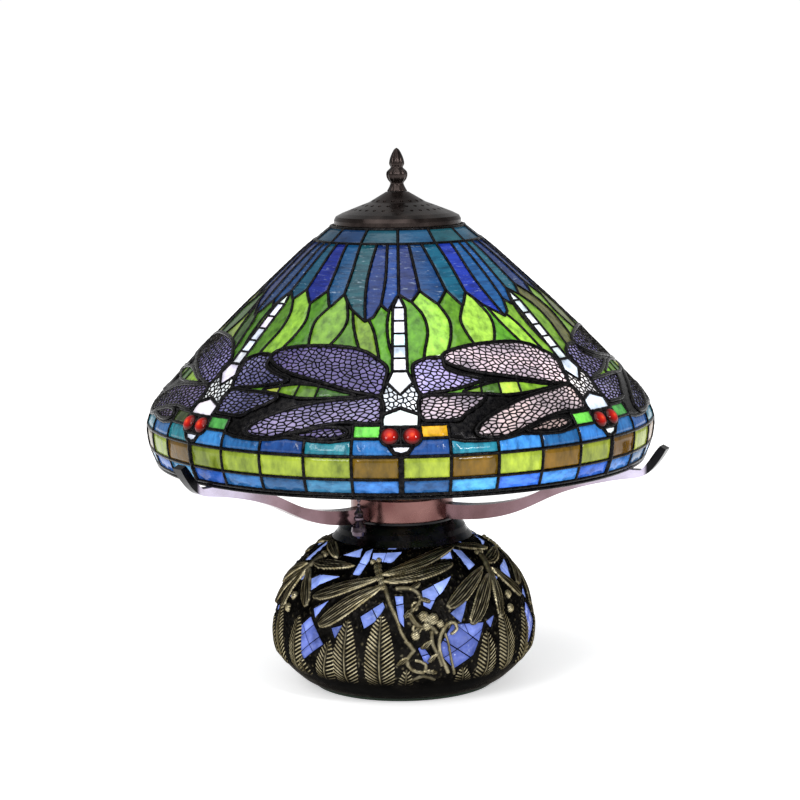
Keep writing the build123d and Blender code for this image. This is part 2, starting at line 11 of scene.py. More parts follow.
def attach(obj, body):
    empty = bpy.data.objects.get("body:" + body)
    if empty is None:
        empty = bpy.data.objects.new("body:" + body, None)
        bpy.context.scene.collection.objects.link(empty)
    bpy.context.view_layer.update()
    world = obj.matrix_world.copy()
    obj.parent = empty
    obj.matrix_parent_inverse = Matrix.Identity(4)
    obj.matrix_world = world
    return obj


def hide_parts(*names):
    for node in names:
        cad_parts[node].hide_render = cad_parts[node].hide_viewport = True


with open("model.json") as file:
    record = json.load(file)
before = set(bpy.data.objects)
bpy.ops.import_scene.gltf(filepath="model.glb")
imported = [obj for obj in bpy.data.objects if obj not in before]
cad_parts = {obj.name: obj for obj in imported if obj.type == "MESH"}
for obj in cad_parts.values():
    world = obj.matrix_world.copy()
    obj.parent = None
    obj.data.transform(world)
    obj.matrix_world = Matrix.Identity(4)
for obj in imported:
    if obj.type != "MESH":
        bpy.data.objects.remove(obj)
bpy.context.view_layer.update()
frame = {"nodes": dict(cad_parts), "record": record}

MM = 0.001
rng = np.random.default_rng(7)

# ---- surfaces: sizes in mm, angles in degrees from the front (-Y) towards +X ----
RIM_Z, ROW_2, ROW_1, CROWN_Z, SHADE_TOP = 187, 200, 217, 360, 371.5
WALL = [(196, RIM_Z), (201.5, ROW_2), (203.5, ROW_1), (199, 229), (190, 241), (160, 273), (122, 310),
        (76.5, 352), (52, SHADE_TOP)]
BASE = [(76, 2), (84, 6), (95, 16), (102, 25), (105, 34), (106, 44), (105.8, 50), (103.3, 64),
        (100, 74), (95.5, 83.6), (88.5, 93.5), (78.5, 104), (66, 113.5), (57, 119.5)]


class Turned:
    """A surface of revolution given by its outline, with its unrolled length."""

    def __init__(self, outline, rounding):
        radii, heights = np.array(outline, float).T
        step = np.r_[0, np.cumsum(np.hypot(np.diff(radii), np.diff(heights)))]
        fine = np.linspace(0, step[-1], 600)
        ends = [np.clip(fine + d, 0, step[-1]) for d in (-rounding, 0, rounding)]
        self.r = sum(np.interp(e, step, radii) for e in ends) / 3
        self.z = sum(np.interp(e, step, heights) for e in ends) / 3
        self.s = np.r_[0, np.cumsum(np.hypot(np.diff(self.r), np.diff(self.z)))]
        slope_r, slope_z = np.gradient(self.r, self.s), np.gradient(self.z, self.s)
        self.nr, self.nz = slope_z, -slope_r

    def length_at(self, z):
        return np.interp(z, self.z, self.s)

    def place(self, angle, s, out=0.0):
        """Points in metres from angle, unrolled length and distance out of the surface."""
        a = np.radians(angle)
        r = np.interp(s, self.s, self.r) + out * np.interp(s, self.s, self.nr)
        z = np.interp(s, self.s, self.z) + out * np.interp(s, self.s, self.nz)
        return np.stack([r * np.sin(a), -r * np.cos(a), z], -1) * MM


SHADE = Turned(WALL, 5)
FOOT = Turned(BASE, 3)
DRAGONFLIES = 7
SECTOR = 360 / DRAGONFLIES
TILE = SECTOR / 5
FLAT = 3.2  # mm for a degree in the flat drawing of the shade


def curve_through(points, closed=False, step=2.0):
    """Catmull-Rom curve through flat points, sampled about every step mm."""
    p = [np.array(q, float) for q in points]
    n = len(p)
    out = []
    for i in range(n if closed else n - 1):
        if closed:
            a, b, c, d = p[i - 1], p[i], p[(i + 1) % n], p[(i + 2) % n]
        else:
            a, b, c, d = p[max(i - 1, 0)], p[i], p[i + 1], p[min(i + 2, n - 1)]
        for t in np.linspace(0, 1, max(2, int(np.linalg.norm(c - b) / step)), endpoint=False):
            out.append(0.5 * (2 * b + (c - a) * t + (2 * a - 5 * b + 4 * c - d) * t * t
                              + (3 * b - a - 3 * c + d) * t ** 3))
    if not closed:
        out.append(p[-1])
    return np.array(out)


def line_through(points, closed=False, step=2.0):
    """Straight runs through flat points, sampled about every step mm."""
    p = [np.array(q, float) for q in points]
    out = []
    for a, b in zip(p, p[1:] + p[:1] if closed else p[1:]):
        out += [a + (b - a) * t for t in
                np.linspace(0, 1, max(2, int(np.linalg.norm(b - a) / step)), endpoint=False)]
    if not closed:
        out.append(p[-1])
    return np.array(out)


def inside(points, outline):
    """Which flat points lie inside a closed outline."""
    x, y = np.atleast_2d(points).T
    hit = np.zeros(len(x), bool)
    for (x0, y0), (x1, y1) in zip(outline, np.roll(outline, -1, axis=0)):
        if y0 == y1:
            continue
        cross = (y0 > y) != (y1 > y)
        hit ^= cross & (x < (x1 - x0) * (y - y0) / (y1 - y0) + x0)
    return hit


def flat(pattern):
    """Pattern points (degrees, height) laid out flat."""
    return [(a * FLAT, float(SHADE.length_at(z))) for a, z in pattern]


# ---- materials ----
class Nodes:
    """A Principled material with a few helpers to wire its nodes."""

    def __init__(self, name, **values):
        self.mat = bpy.data.materials.new(name)
        self.mat.use_nodes = True
        self.tree = self.mat.node_tree
        self.bsdf = self.tree.nodes["Principled BSDF"]
        for key, value in values.items():
            self.bsdf.inputs[key.replace("_", " ")].default_value = value
        self.coords = self.add("ShaderNodeTexCoord").outputs["Object"]

    def add(self, kind, **inputs):
        node = self.tree.nodes.new(kind)
        for key, value in inputs.items():
            socket = node.inputs[key.replace("_", " ")]
            if isinstance(value, bpy.types.NodeSocket):
                self.tree.links.new(value, socket)
            else:
                socket.default_value = value
        return node

    def link(self, out, key):
        self.tree.links.new(out, self.bsdf.inputs[key])

    def tint(self):
        """Each point's own value, as set_tint gives it."""
        node = self.tree.nodes.new("ShaderNodeAttribute")
        node.attribute_name = "tint"
        return node

    def stretched(self, scale):
        node = self.add("ShaderNodeMapping", Vector=self.coords, Scale=scale)
        return node.outputs[0]

    def rough(self, scale, low, high):
        """Roughness that drifts between two values in patches."""
        self.link(self.ramp(self.noise(scale, 5.0), (0.3, (low,) * 3), (0.75, (high,) * 3)),
                  "Roughness")

    def noise(self, scale, detail=3.0, vector=None, rough=0.5):
        node = self.add("ShaderNodeTexNoise", Scale=scale, Detail=detail, Roughness=rough,
                        Vector=vector or self.coords)
        return node.outputs["Fac"]

    def ramp(self, fac, *stops):
        node = self.add("ShaderNodeValToRGB", Fac=fac)
        elements = node.color_ramp.elements
        while len(elements) < len(stops):
            elements.new(0.5)
        for element, (at, colour) in zip(elements, stops):
            element.position = at
            element.color = (*colour, 1)
        return node.outputs["Color"]

    def mix(self, fac, a, b, blend="MIX"):
        node = self.tree.nodes.new("ShaderNodeMix")
        node.data_type, node.blend_type = "RGBA", blend
        for index, value in ((0, fac), (6, a), (7, b)):
            if isinstance(value, bpy.types.NodeSocket):
                self.tree.links.new(value, node.inputs[index])
            else:
                node.inputs[index].default_value = value if index == 0 else (*value, 1)
        return node.outputs[2]

    def bump(self, height, strength, distance):
        node = self.add("ShaderNodeBump", Height=height, Strength=strength, Distance=distance)
        self.link(node.outputs[0], "Normal")


def glass_material(name, streak, ripple, white, glow):
    """Streaky opalescent sheet glass lit a little from behind. The piece's own colour is its
    tint; streak and ripple are scales (x, y, z) of the clouds and of the relief, white is how
    pale the wisps are, and glow is the light from behind."""
    m = Nodes(name, Roughness=0.16, Specular_IOR_Level=0.25, Coat_Weight=0.06, Coat_Roughness=0.08)
    clouds = m.noise(1.0, 4.0, m.stretched(streak), 0.6)
    dark = m.ramp(clouds, (0.28, (0.35, 0.38, 0.42)), (0.5, (0.9, 0.92, 0.95)),
                  (0.75, (1.45, 1.4, 1.3)))
    shaded = m.mix(1.0, m.tint().outputs["Color"], dark, "MULTIPLY")
    wisps = m.ramp(m.noise(1.0, 5.0, m.stretched([c * 2.1 for c in streak]), 0.7),
                   (0.60, (0, 0, 0)), (0.70, (white, white, white)))
    pale = m.mix(0.45, shaded, (0.62, 0.75, 0.86))
    colour = m.mix(wisps, shaded, pale)
    m.link(colour, "Base Color")
    m.link(colour, "Emission Color")
    m.bsdf.inputs["Emission Strength"].default_value = glow
    m.bump(m.noise(1.0, 2.0, m.stretched(ripple), 0.5), 0.35, 0.0012)
    return m.mat


def metal_material(name, colour, second, rough=0.3, metallic=1.0, patch=60, grain=500, bump=0.1):
    """Patinated metal: two tones in soft patches, fine grain in roughness and relief."""
    m = Nodes(name, Metallic=metallic)
    tone = m.ramp(m.noise(patch, 4.0), (0.35, colour), (0.7, second))
    m.link(tone, "Base Color")
    m.rough(patch * 2, max(rough - 0.08, 0.03), rough + 0.12)
    m.bump(m.noise(grain, 3.0), bump, 0.0004)
    return m.mat


def plain_material(name, colour, rough, grain=300, bump=0.1, emission=0.0):
    """Moulded plastic, ceramic, felt or frosted glass with a fine grain."""
    m = Nodes(name, Roughness=rough)
    dark = tuple(c * 0.85 for c in colour)
    tone = m.ramp(m.noise(grain, 3.0), (0.3, dark), (0.7, colour))
    m.link(tone, "Base Color")
    if emission:
        m.link(tone, "Emission Color")
        m.bsdf.inputs["Emission Strength"].default_value = emission
    m.bump(m.noise(grain * 2, 2.0), bump, 0.0003)
    return m.mat


SOLDER = metal_material("black_solder", (0.004, 0.004, 0.005), (0.018, 0.017, 0.017), 0.26,
                        patch=300, grain=900, bump=0.5)


# ---- mesh helpers ----
def in_scene(name, data):
    """An object of the scene from its mesh, curve, light or camera."""
    thing = bpy.data.objects.new(name, data)
    bpy.context.collection.objects.link(thing)
    return thing


def piece_of(name, mesh, material, body, slot, smooth=True):
    """A piece of one material, riding on a body of the frame."""
    mesh.materials.clear()
    mesh.materials.append(material)
    if smooth:
        mesh.shade_smooth()
    piece = in_scene(name, mesh)
    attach(piece, body)
    return piece


def mesh_object(name, verts, faces, material, body, slot, smooth=True):
    """A piece from its points in metres and its faces."""
    mesh = bpy.data.meshes.new(name)
    mesh.from_pydata([tuple(v) for v in verts], [], [tuple(f) for f in faces])
    mesh.update()
    return piece_of(name, mesh, material, body, slot, smooth)


def ring_faces(rows, turns, first=0):
    """Quads between rows of points that each run once round."""
    return [(first + i * turns + j, first + i * turns + (j + 1) % turns,
             first + (i + 1) * turns + (j + 1) % turns, first + (i + 1) * turns + j)
            for i in range(rows - 1) for j in range(turns)]


def lathe(name, outline, flute, material, body, slot, turns=96):
    """A turned piece from (radius, height) in mm; flute changes the radius round the turn."""
    rows = curve_through(outline, step=0.8)
    angles = np.linspace(0, 2 * pi, turns, endpoint=False)
    verts = [(flute(r, z, a) * cos(a) * MM, flute(r, z, a) * sin(a) * MM, z * MM)
             for r, z in rows for a in angles]
    return mesh_object(name, verts, ring_faces(len(rows), turns), material, body, slot)


def set_tint(mesh, colours):
    """Gives each point its own colour, or its share of rubbed metal."""
    layer = mesh.color_attributes.new("tint", "FLOAT_COLOR", "POINT")
    layer.data.foreach_set("color", np.asarray(colours, np.float32).ravel())


def thicken(piece, depth):
    """Thickens a sheet inwards by a depth in mm."""
    thick = piece.modifiers.new("thickness", "SOLIDIFY")
    thick.thickness, thick.offset = depth * MM, -1


# ---- the lead lines of one sector ----
# Outlines of one dragonfly, counted from its axis: (degrees, height).
CURVED = {
    "wing_ul": [(-39.2, 280), (-38.3, 284.8), (-31.8, 288.5), (-23.5, 289.8), (-15.5, 289.2),
        (-10, 286.5), (-6.1, 281.5), (-3.4, 275.5), (-3.9, 266), (-4.8, 258), (-9, 259),
        (-12.9, 261), (-18.4, 264.6), (-24.5, 268), (-31.2, 271.4), (-36.4, 275.7)],
    "wing_ur": [(3.4, 275.3), (5, 279.5), (8.6, 282), (12, 281), (12.2, 275.5), (15.2, 271),
        (21.5, 266.6), (19.1, 263.8), (12.9, 260.4), (7.9, 259), (4.7, 258.6)],
    "wing_ll": [(-4.7, 256), (-11.3, 255.5), (-18.5, 253.2), (-24.3, 249.4), (-30, 243.5),
        (-33.7, 237.8), (-35.3, 232.6), (-34.3, 229), (-31.6, 227.8), (-27.9, 228.3),
        (-24.6, 231.4), (-20.3, 235.4), (-17, 238), (-12, 240), (-4.6, 240.8)],
    "wing_lr": [(4.7, 256), (9.7, 257.2), (15.9, 257), (20.6, 255.5), (18.8, 250.4), (14.8, 244.5),
        (12.9, 241), (8, 240.8), (4.7, 242.5)],
    "lobe": [(-23.7, 231.4), (-20.2, 234.6), (-17, 236.6), (-13.2, 236.8), (-11.4, 234),
        (-12.5, 231), (-15.4, 228.8), (-19.3, 228.8), (-22.4, 229.8)],
    "spindle": [(-36, 258.6), (-31.5, 261.8), (-26.6, 263.9), (-21, 263.4), (-15.4, 260.6),
        (-10.8, 257.6), (-15, 256.2), (-20, 255.2), (-25.2, 255), (-30.2, 256.6)],
}
SPINDLE_JOINTS = (-31.5, -26.5, -21)
TAIL_JOINTS = (316, 307, 298.5, 290, 282)
STRAIGHT = {
    "tail": [(0, 325), (2.3, 316), (2.1, 290), (2.0, 273.5), (-2.0, 273.5), (-2.1, 290),
        (-2.3, 316)],
    "abdomen": [(-2.0, 273.5), (-3.3, 266), (0, 258), (3.3, 266), (2.0, 273.5)],
    "thorax": [(-3.3, 266), (0, 258), (3.3, 266), (4.6, 258), (4.3, 245), (0, 249.5), (-4.3, 245),
        (-4.6, 258)],
    "head": [(-4.3, 245), (0, 249.5), (4.3, 245), (4.0, 237), (-4.0, 237)],
    "mouth": [(-2.6, 225), (2.6, 225), (1.5, 219.8), (0, 218.3), (-1.5, 219.8)],
}
CHEEKS = {"cheek_left": (-TILE, -4.2), "cheek_right": (4.2, TILE)}
CHEEK_LOW, CHEEK_HIGH = 229.5, 238.4
EYE_ANGLE, EYE_Z, EYE_R = 2.35, 231, 6.6
EYE_FLAT = 3.5  # mm for a degree on the shade itself, at the eyes

# Between two dragonflies: blue leaves hang from the crown, green reeds stand behind the wings.
LEAF_VALLEY, REEDS_FROM = 327, 250
LEAF_EDGE = [(0, 325), (4.8, 319.5), (8.8, LEAF_VALLEY), (15, 317.5), (20.2, LEAF_VALLEY),
             (24.6, 315.5), (28.6, 325), (33.5, 315), (39.8, 306.5), (42.4, 309.5),
             (44.6, 318), (47.5, 313.5), (49.4, 320), (SECTOR, 325)]
LEAF_LINES = [[(7, 360.5), (8.2, 342), (8.8, 326)], [(15.5, 360.5), (18.6, 343), (20.2, 326)],
              [(26, 360.5), (28, 343), (28.6, 324)], [(37.5, 360.5), (37, 335), (39.8, 306)],
              [(44.5, 360.5), (45.5, 338), (44.6, 317)], [(0, 360.5), (0, 324)]]
REED_LINES = [[(4.8, 320), (8.4, 311), (9.2, 300), (7.4, 287), (6.4, 277)],
              [(15, 318), (17.4, 307), (16.4, 296), (13.4, 283)],
              [(24.6, 316), (21.6, 307), (21.8, 298), (23.6, 286)],
              [(30.4, 322), (33.2, 309), (32.4, 299), (28.6, 286)],
              [(34.2, 315.5), (36.2, 303), (40.4, 284)],
              [(32.6, 303), (36.4, 299)],
              [(40.5, 309), (43.6, 298), (46.4, 275)],
              [(48.4, 319), (47.4, 306), (48.2, 292), (49.6, 283)]]
# Top of the upper border row between two dragonflies, and the solder between their wings.
ROW_EDGE = [(TILE, 228.6), (13.4, 226.6), (17, 226), (20, 226), (23.4, 227), (26.4, 228.8),
            (29.4, 228), (32.4, 227.2), (36.4, 226.8), (39.4, 228.2), (SECTOR - TILE, 229)]
BETWEEN_WINGS = [(11.7, 281), (15, 276), (20.2, 271.6), (26.9, 268.2), (33, 264.8),
                 (38.5, 261.2), (47.5, 258), (47.5, 239), (SECTOR - TILE, 228), (TILE, 226),
                 (4, 242), (4, 259)]
CLOSING_LINES = [[(0, 223), (0, 238)], [(9.5, 281.8), (13.2, 282.6)]]
THIN, NORMAL, THICK, SEAM = 1.0, 1.35, 1.75, 2.3  # radius of a lead bead


def eye_outline(side):
    """The bezel round an eye, narrowed as the flat drawing narrows this part of the shade."""
    turn = np.linspace(0, 2 * pi, 24, endpoint=False)
    u, v = flat([(side * EYE_ANGLE, EYE_Z)])[0]
    radius = EYE_R + 0.4
    return np.stack([u + radius * FLAT / EYE_FLAT * np.cos(turn), v + radius * np.sin(turn)], -1)


def dragonfly_outlines():
    """Closed outlines of one dragonfly and its neighbours' tiles, laid flat, by name."""
    shapes = {name: curve_through(flat(points), True) for name, points in CURVED.items()}
    for name, points in STRAIGHT.items():
        shapes[name] = line_through(flat(points), True)
    for name, (left, right) in CHEEKS.items():
        shapes[name] = line_through(flat([(left, CHEEK_HIGH), (right, CHEEK_HIGH),
                                          (right, CHEEK_LOW), (left, CHEEK_LOW)]), True)
    shapes["eye_left"], shapes["eye_right"] = eye_outline(-1), eye_outline(1)
    return shapes


OUTLINES = dragonfly_outlines()


def sector_lines():
    """Every lead line of one sector: flat points, closed or not, bead radius."""
    lines = []
    for name, points in OUTLINES.items():
        heavy = name.startswith(("wing", "head", "mouth", "lobe"))
        lines.append((points, True, THICK if heavy else NORMAL))
    runs = [(line_through, [(-2.4, z), (2.4, z)], THIN) for z in TAIL_JOINTS]
    runs += [(line_through, [(angle, 254), (angle + 0.6, 266)], THIN) for angle in SPINDLE_JOINTS]
    runs.append((line_through, LEAF_EDGE, NORMAL))
    runs += [(curve_through, points, NORMAL) for points in LEAF_LINES + REED_LINES]
    runs += [(line_through, points, NORMAL) for points in (ROW_EDGE, *CLOSING_LINES)]
    for tile, top in enumerate((ROW_1 + 2, CHEEK_HIGH, 226.2, 227.6, CHEEK_HIGH)):
        joint = [(tile * TILE, RIM_Z), (tile * TILE, top)]
        runs.append((line_through, joint, NORMAL if tile else SEAM))
    runs += [(line_through, [(angle, CROWN_Z), (angle, SHADE_TOP)], NORMAL) for angle in (0, SECTOR / 2)]
    return lines + [(draw(flat(points)), False, width) for draw, points, width in runs]


START = -10.0  # the one sector that is kept starts here and is then turned seven times
LEAST_PANE = 9  # mm2; what is smaller is filled with solder


def arrangement():
    """Cuts the flat drawing along its lead lines. Gives its points, its triangles, and the
    bead radius of each lead edge as a pair of points."""
    points, edges, widths = [], [], []

    def draw(line, closed, width):
        first, count = len(points), len(line)
        points.extend(line)
        for i in range(count if closed else count - 1):
            edges.append((first + i, first + (i + 1) % count))
            widths.append(width)

    for k in range(-1, 3):
        for line, closed, width in sector_lines():
            draw(line + [k * SECTOR * FLAT, 0], closed, width)
    low, high = -1.6 * SECTOR, 2.6 * SECTOR  # wide enough to close every pane of one sector
    for z in (RIM_Z, ROW_2, ROW_1, CROWN_Z, SHADE_TOP):
        draw(line_through(flat([(low, z), (high, z)]), step=3.0), False, NORMAL)
    drawn = np.array(points)
    spacing, clear = 5.0, 2.2  # points between the lines, so that panes bend with the shade
    for j, v in enumerate(np.arange(2.0, SHADE.s[-1] - 1, 0.9 * spacing)):
        for u in np.arange(low * FLAT, high * FLAT, spacing) + spacing / 2 * (j % 2):
            if np.min(np.hypot(drawn[:, 0] - u, drawn[:, 1] - v)) > clear:
                points.append(np.array((u, v)))
    verts, ends, faces, _, edge_source, _ = delaunay_2d_cdt(
        [Vector((float(p[0]), float(p[1]))) for p in points], edges, [], 0, 0.02, True)
    lead = {ordered(*e): max(widths[i] for i in source)
            for e, source in zip(ends, edge_source) if source}
    return np.array([tuple(v) for v in verts]), faces, lead


def ordered(a, b):
    """An edge between two numbered points, whichever way round it was met."""
    return (a, b) if a < b else (b, a)


def sides_of(faces):
    """Which triangles lie along each edge."""
    sides = {}
    for i, face in enumerate(faces):
        for a, b in zip(face, face[1:] + face[:1]):
            sides.setdefault(ordered(a, b), []).append(i)
    return sides


def regions_of(faces, lead):
    """The region number of each triangle: triangles joined across edges with no lead."""
    parent = list(range(len(faces)))

    def root(i):
        while parent[i] != i:
            parent[i] = parent[parent[i]]
            i = parent[i]
        return i

    for edge, pair in sides_of(faces).items():
        if edge not in lead and len(pair) == 2:
            parent[root(pair[0])] = root(pair[1])
    return [root(i) for i in range(len(faces))]


def kind_of(centre):
    """What a region is, from its middle: the outline it lies in, or else its zone."""
    angle, v = centre[0] / FLAT, centre[1]
    z = float(np.interp(v, SHADE.s, SHADE.z))
    for name, outline in OUTLINES.items():
        for k in (0, 1, -1):
            if inside([centre[0] - k * SECTOR * FLAT, v], outline)[0]:
                return name
    if z > CROWN_Z:
        return "crown"
    turn = angle % SECTOR
    if z > np.interp(turn, *np.array(LEAF_EDGE).T):
        return "leaf"
    if z < ROW_2:
        return "row_low"
    if z < ROW_1:
        return "row_mid"
    if z < np.interp(turn, *np.array(ROW_EDGE).T):
        return "row_top"
    between = np.array(flat(BETWEEN_WINGS))
    return "gap" if z < REEDS_FROM or inside([turn * FLAT, v], between)[0] else "reed"


FAMILY = {kind: family for family, kinds in {
    "crown": "crown", "leaf": "leaf", "field": "reed spindle cheek_left cheek_right",
    "upper": "row_top", "middle": "row_mid", "lower": "row_low",
    "body": "tail abdomen head mouth thorax", "wing": "wing_ul wing_ur wing_ll wing_lr lobe",
    "solder": "gap"}.items() for kind in kinds.split()}
# Linear colours each kind of piece is cut from.
SHEETS = {
    "crown": [(0.010, 0.05, 0.10), (0.012, 0.07, 0.11), (0.012, 0.04, 0.12), (0.010, 0.06, 0.08)],
    "leaf": [(0.005, 0.030, 0.15), (0.008, 0.065, 0.19), (0.005, 0.075, 0.13), (0.010, 0.025, 0.11),
             (0.010, 0.085, 0.12), (0.008, 0.022, 0.21), (0.006, 0.045, 0.16)],
    "reed": [(0.07, 0.20, 0.015), (0.14, 0.30, 0.025), (0.045, 0.11, 0.02), (0.20, 0.38, 0.04),
             (0.075, 0.085, 0.025), (0.22, 0.30, 0.06)],
    "spindle": [(0.10, 0.20, 0.02), (0.16, 0.32, 0.025), (0.34, 0.45, 0.05), (0.05, 0.12, 0.02)],
    "gap": [(0.012, 0.012, 0.012)],
    "cheek_left": [(0.10, 0.46, 0.05), (0.03, 0.045, 0.012)],
    "cheek_right": [(0.46, 0.25, 0.008), (0.07, 0.30, 0.06)],
    "row_top": [(0.014, 0.09, 0.24), (0.03, 0.16, 0.42), (0.02, 0.19, 0.26), (0.012, 0.06, 0.20)],
    "row_mid": [(0.25, 0.33, 0.03), (0.105, 0.06, 0.002)],
    "row_low": [(0.04, 0.17, 0.46), (0.03, 0.12, 0.48), (0.05, 0.23, 0.42), (0.02, 0.09, 0.22)],
    "wing": [(0.20, 0.20, 0.44), (0.24, 0.22, 0.44), (0.16, 0.15, 0.36), (0.28, 0.22, 0.38)],
    "body": [(0.74, 0.77, 0.82)],
}
# Painted light and shade on each dragonfly's part of the shade: lighter at the front and right, darker
# at the back and left.
PAINTED_SIDE_LIGHT = (1.1, 1.0, 0.8, 0.7, 0.7, 0.62, 0.72)
# The wings that meet right of the front dragonfly get paler colours.
FRONT_WINGS = {"wing_ul": (0.66, 0.62, 0.66), "wing_ll": (0.58, 0.48, 0.52),
               "lobe": (0.50, 0.44, 0.48), "wing_ur": (0.36, 0.34, 0.58),
               "wing_lr": (0.48, 0.40, 0.52)}


def tint_of(kind, order, turn):
    """A piece's colour: from its sheet, with a random tone and a painted light and shade that differ on
    each dragonfly.
    """
    choice = SHEETS[kind if kind in SHEETS else FAMILY[kind]]
    if kind.startswith("cheek"):
        base = choice[0 if turn == 0 else rng.integers(len(choice))]
    elif kind == "row_mid":
        base = choice[0 if turn > 4 and order % 3 else (order + turn + 1) % 2]
    else:
        base = choice[(order * 3 + turn) % len(choice)]
    # A random tone for each piece, times the painted side light of its dragonfly.
    shade = rng.uniform(0.8, 1.25) * PAINTED_SIDE_LIGHT[turn]
    drift = rng.normal(0, 0.05, 3)
    # Bodies: painted shade, lighter on the two dragonflies at the front and right than on the rest.
    if FAMILY[kind] == "body":
        shade = 1.0 if turn < 2 else 0.8
    if turn == 0 and kind in FRONT_WINGS:
        base, shade = FRONT_WINGS[kind], 1.0
    if kind in ("wing_ll", "wing_lr", "lobe"):
        drift += (0.05, -0.10, -0.20)
    return tuple(np.clip(np.array(base) * shade * (1 + drift), 0.004, 0.95)) + (1.0,)


def chains_of(pairs):
    """Joins point pairs into chains that end where lead lines meet."""
    links = {}
    for a, b in pairs:
        links.setdefault(a, []).append(b)
        links.setdefault(b, []).append(a)
    left = set(pairs)
    chains = []

    def walk(a, b):
        chain = [a, b]
        left.discard(ordered(a, b))
        while len(links[chain[-1]]) == 2:
            step = [n for n in links[chain[-1]] if ordered(chain[-1], n) in left]
            if not step:
                break
            left.discard(ordered(chain[-1], step[0]))
            chain.append(step[0])
        return chain

    for node in [n for n, near in links.items() if len(near) != 2]:
        for other in links[node]:
            if ordered(node, other) in left:
                chains.append(walk(node, other))
    while left:
        chains.append(walk(*min(left)))
    return chains


POINTS, FACES, LEAD = arrangement()
SIDES, REGION = sides_of(FACES), regions_of(FACES, LEAD)


def one_sector_regions():
    """The kept regions: kind, order among its kind from left to right, triangles."""
    groups = {}
    for i, region in enumerate(REGION):
        groups.setdefault(region, []).append(i)
    kept = []
    for tris in groups.values():
        corners = POINTS[np.array([FACES[i] for i in tris])]
        middles = corners.mean(1)
        d1, d2 = corners[:, 1] - corners[:, 0], corners[:, 2] - corners[:, 0]
        areas = np.abs(d1[:, 0] * d2[:, 1] - d1[:, 1] * d2[:, 0]) / 2
        centre = (middles * areas[:, None]).sum(0) / areas.sum()
        if not START <= centre[0] / FLAT < START + SECTOR:
            continue
        if not 0 < centre[1] < SHADE.s[-1]:
            continue
        # The middle of a bent piece can fall outside it, so its largest triangle decides.
        kind = kind_of(middles[np.argmax(areas)])
        if areas.sum() < LEAST_PANE and kind not in ("tail", "mouth"):
            kind = "gap"
        kept.append((kind, centre[0], tris))
    kept.sort(key=lambda k: (k[0], k[1]))
    return kept


def wing_gradient(kind, across):
    """How a wing's glass darkens from the body to the tip; a lower wing is redder at its root."""
    pitch = SECTOR * FLAT
    body = round(float(across.mean()) / pitch) * pitch
    tip = np.clip(np.abs(across - body) / 36, 0, 1)
    change = np.stack([1.3 - 0.5 * tip, 1.25 - 0.5 * tip, 1.3 - 0.5 * tip], -1)
    if kind in ("wing_ll", "wing_lr"):
        change[:, 1:3] *= (0.72 + 0.4 * np.clip(tip * 2, 0, 1))[:, None]
    return change


# Each family of panes: its piece, the CAD node it replaces, its slot, and its glass.
PANES = {
    "crown": ("crown_panes", "crown_glass", "crown_blue",
              ("crown_glass", (40, 40, 120), (120, 120, 500), 0.06, 0.22)),
    "leaf": ("leaf_panes", "leaf_glass", "leaf_blue",
             ("leaf_glass", (60, 60, 420), (160, 160, 900), 0.75, 0.25)),
    "field": ("reed_panes", "field_glass", "field_green",
              ("reed_glass", (170, 170, 16), (150, 150, 30), 0.12, 0.42)),
    "upper": ("border_upper_panes", "border_upper_glass", "border_blue",
              ("border_blue_glass", (230, 230, 60), (260, 260, 90), 0.12, 0.4)),
    "middle": ("border_middle_panes", "border_middle_glass", "border_amber",
               ("border_amber_glass", (110, 110, 50), (200, 200, 120), 0.03, 0.45)),
    "lower": ("border_lower_panes", "border_lower_glass", "border_blue",
              ("border_low_glass", (120, 120, 200), (200, 200, 200), 0.14, 0.45)),
    "body": ("dragonfly_body_panes", "dragonfly_body_glass", "opal_white",
             ("opal_glass", (60, 60, 60), (90, 90, 90), 0.1, 0.6)),
    "wing": ("dragonfly_wing_panes", "dragonfly_wing_glass", "wing_purple",
             ("wing_glass", (45, 45, 60), (90, 90, 90), 0.35, 0.45)),
    "solder": ("solder_fill", None, "lead", None),
}


def panes_by_family():
    """The points, triangles and tints of each family's panes, on every dragonfly."""
    build = {family: ([], [], []) for family in PANES}
    order = {}
    for kind, _, tris in one_sector_regions():
        if kind.startswith("eye"):
            continue
        family = FAMILY[kind]
        number = order[kind] = order.get(kind, -1) + 1
        used = sorted({v for i in tris for v in FACES[i]})
        local = {v: i for i, v in enumerate(used)}
        flat_points = POINTS[used]
        for turn in range(DRAGONFLIES):
            verts, faces, tints = build[family]
            first = sum(len(v) for v in verts)
            placed = SHADE.place(flat_points[:, 0] / FLAT + turn * SECTOR, flat_points[:, 1])
            verts.append(placed)
            faces.extend(tuple(first + local[v] for v in FACES[i]) for i in tris)
            tint = np.array([tint_of(kind, number, turn)] * len(used))
            if family == "wing":
                tint[:, :3] *= wing_gradient(kind, flat_points[:, 0])
            tints.extend(map(tuple, tint))
    return build


def glass_pieces():
    """Builds the panes of each family as one piece of many separate panes."""
    for family, (verts, faces, tints) in panes_by_family().items():
        name, node, slot, glass = PANES[family]
        verts = np.concatenate(verts)
        a, b, c = (verts[np.array(faces)[:, i]] for i in range(3))
        outward = np.einsum("ij,ij->i", np.cross(b - a, c - a), (a + b + c) * (1, 1, 0)) > 0
        faces = [f if out else f[::-1] for f, out in zip(faces, outward)]
        material = glass_material(*glass) if glass else SOLDER
        piece = mesh_object(name, verts, faces, material, "shade", slot)
        set_tint(piece.data, tints)
        thicken(piece, 2.6)
        if node:
            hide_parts(node)


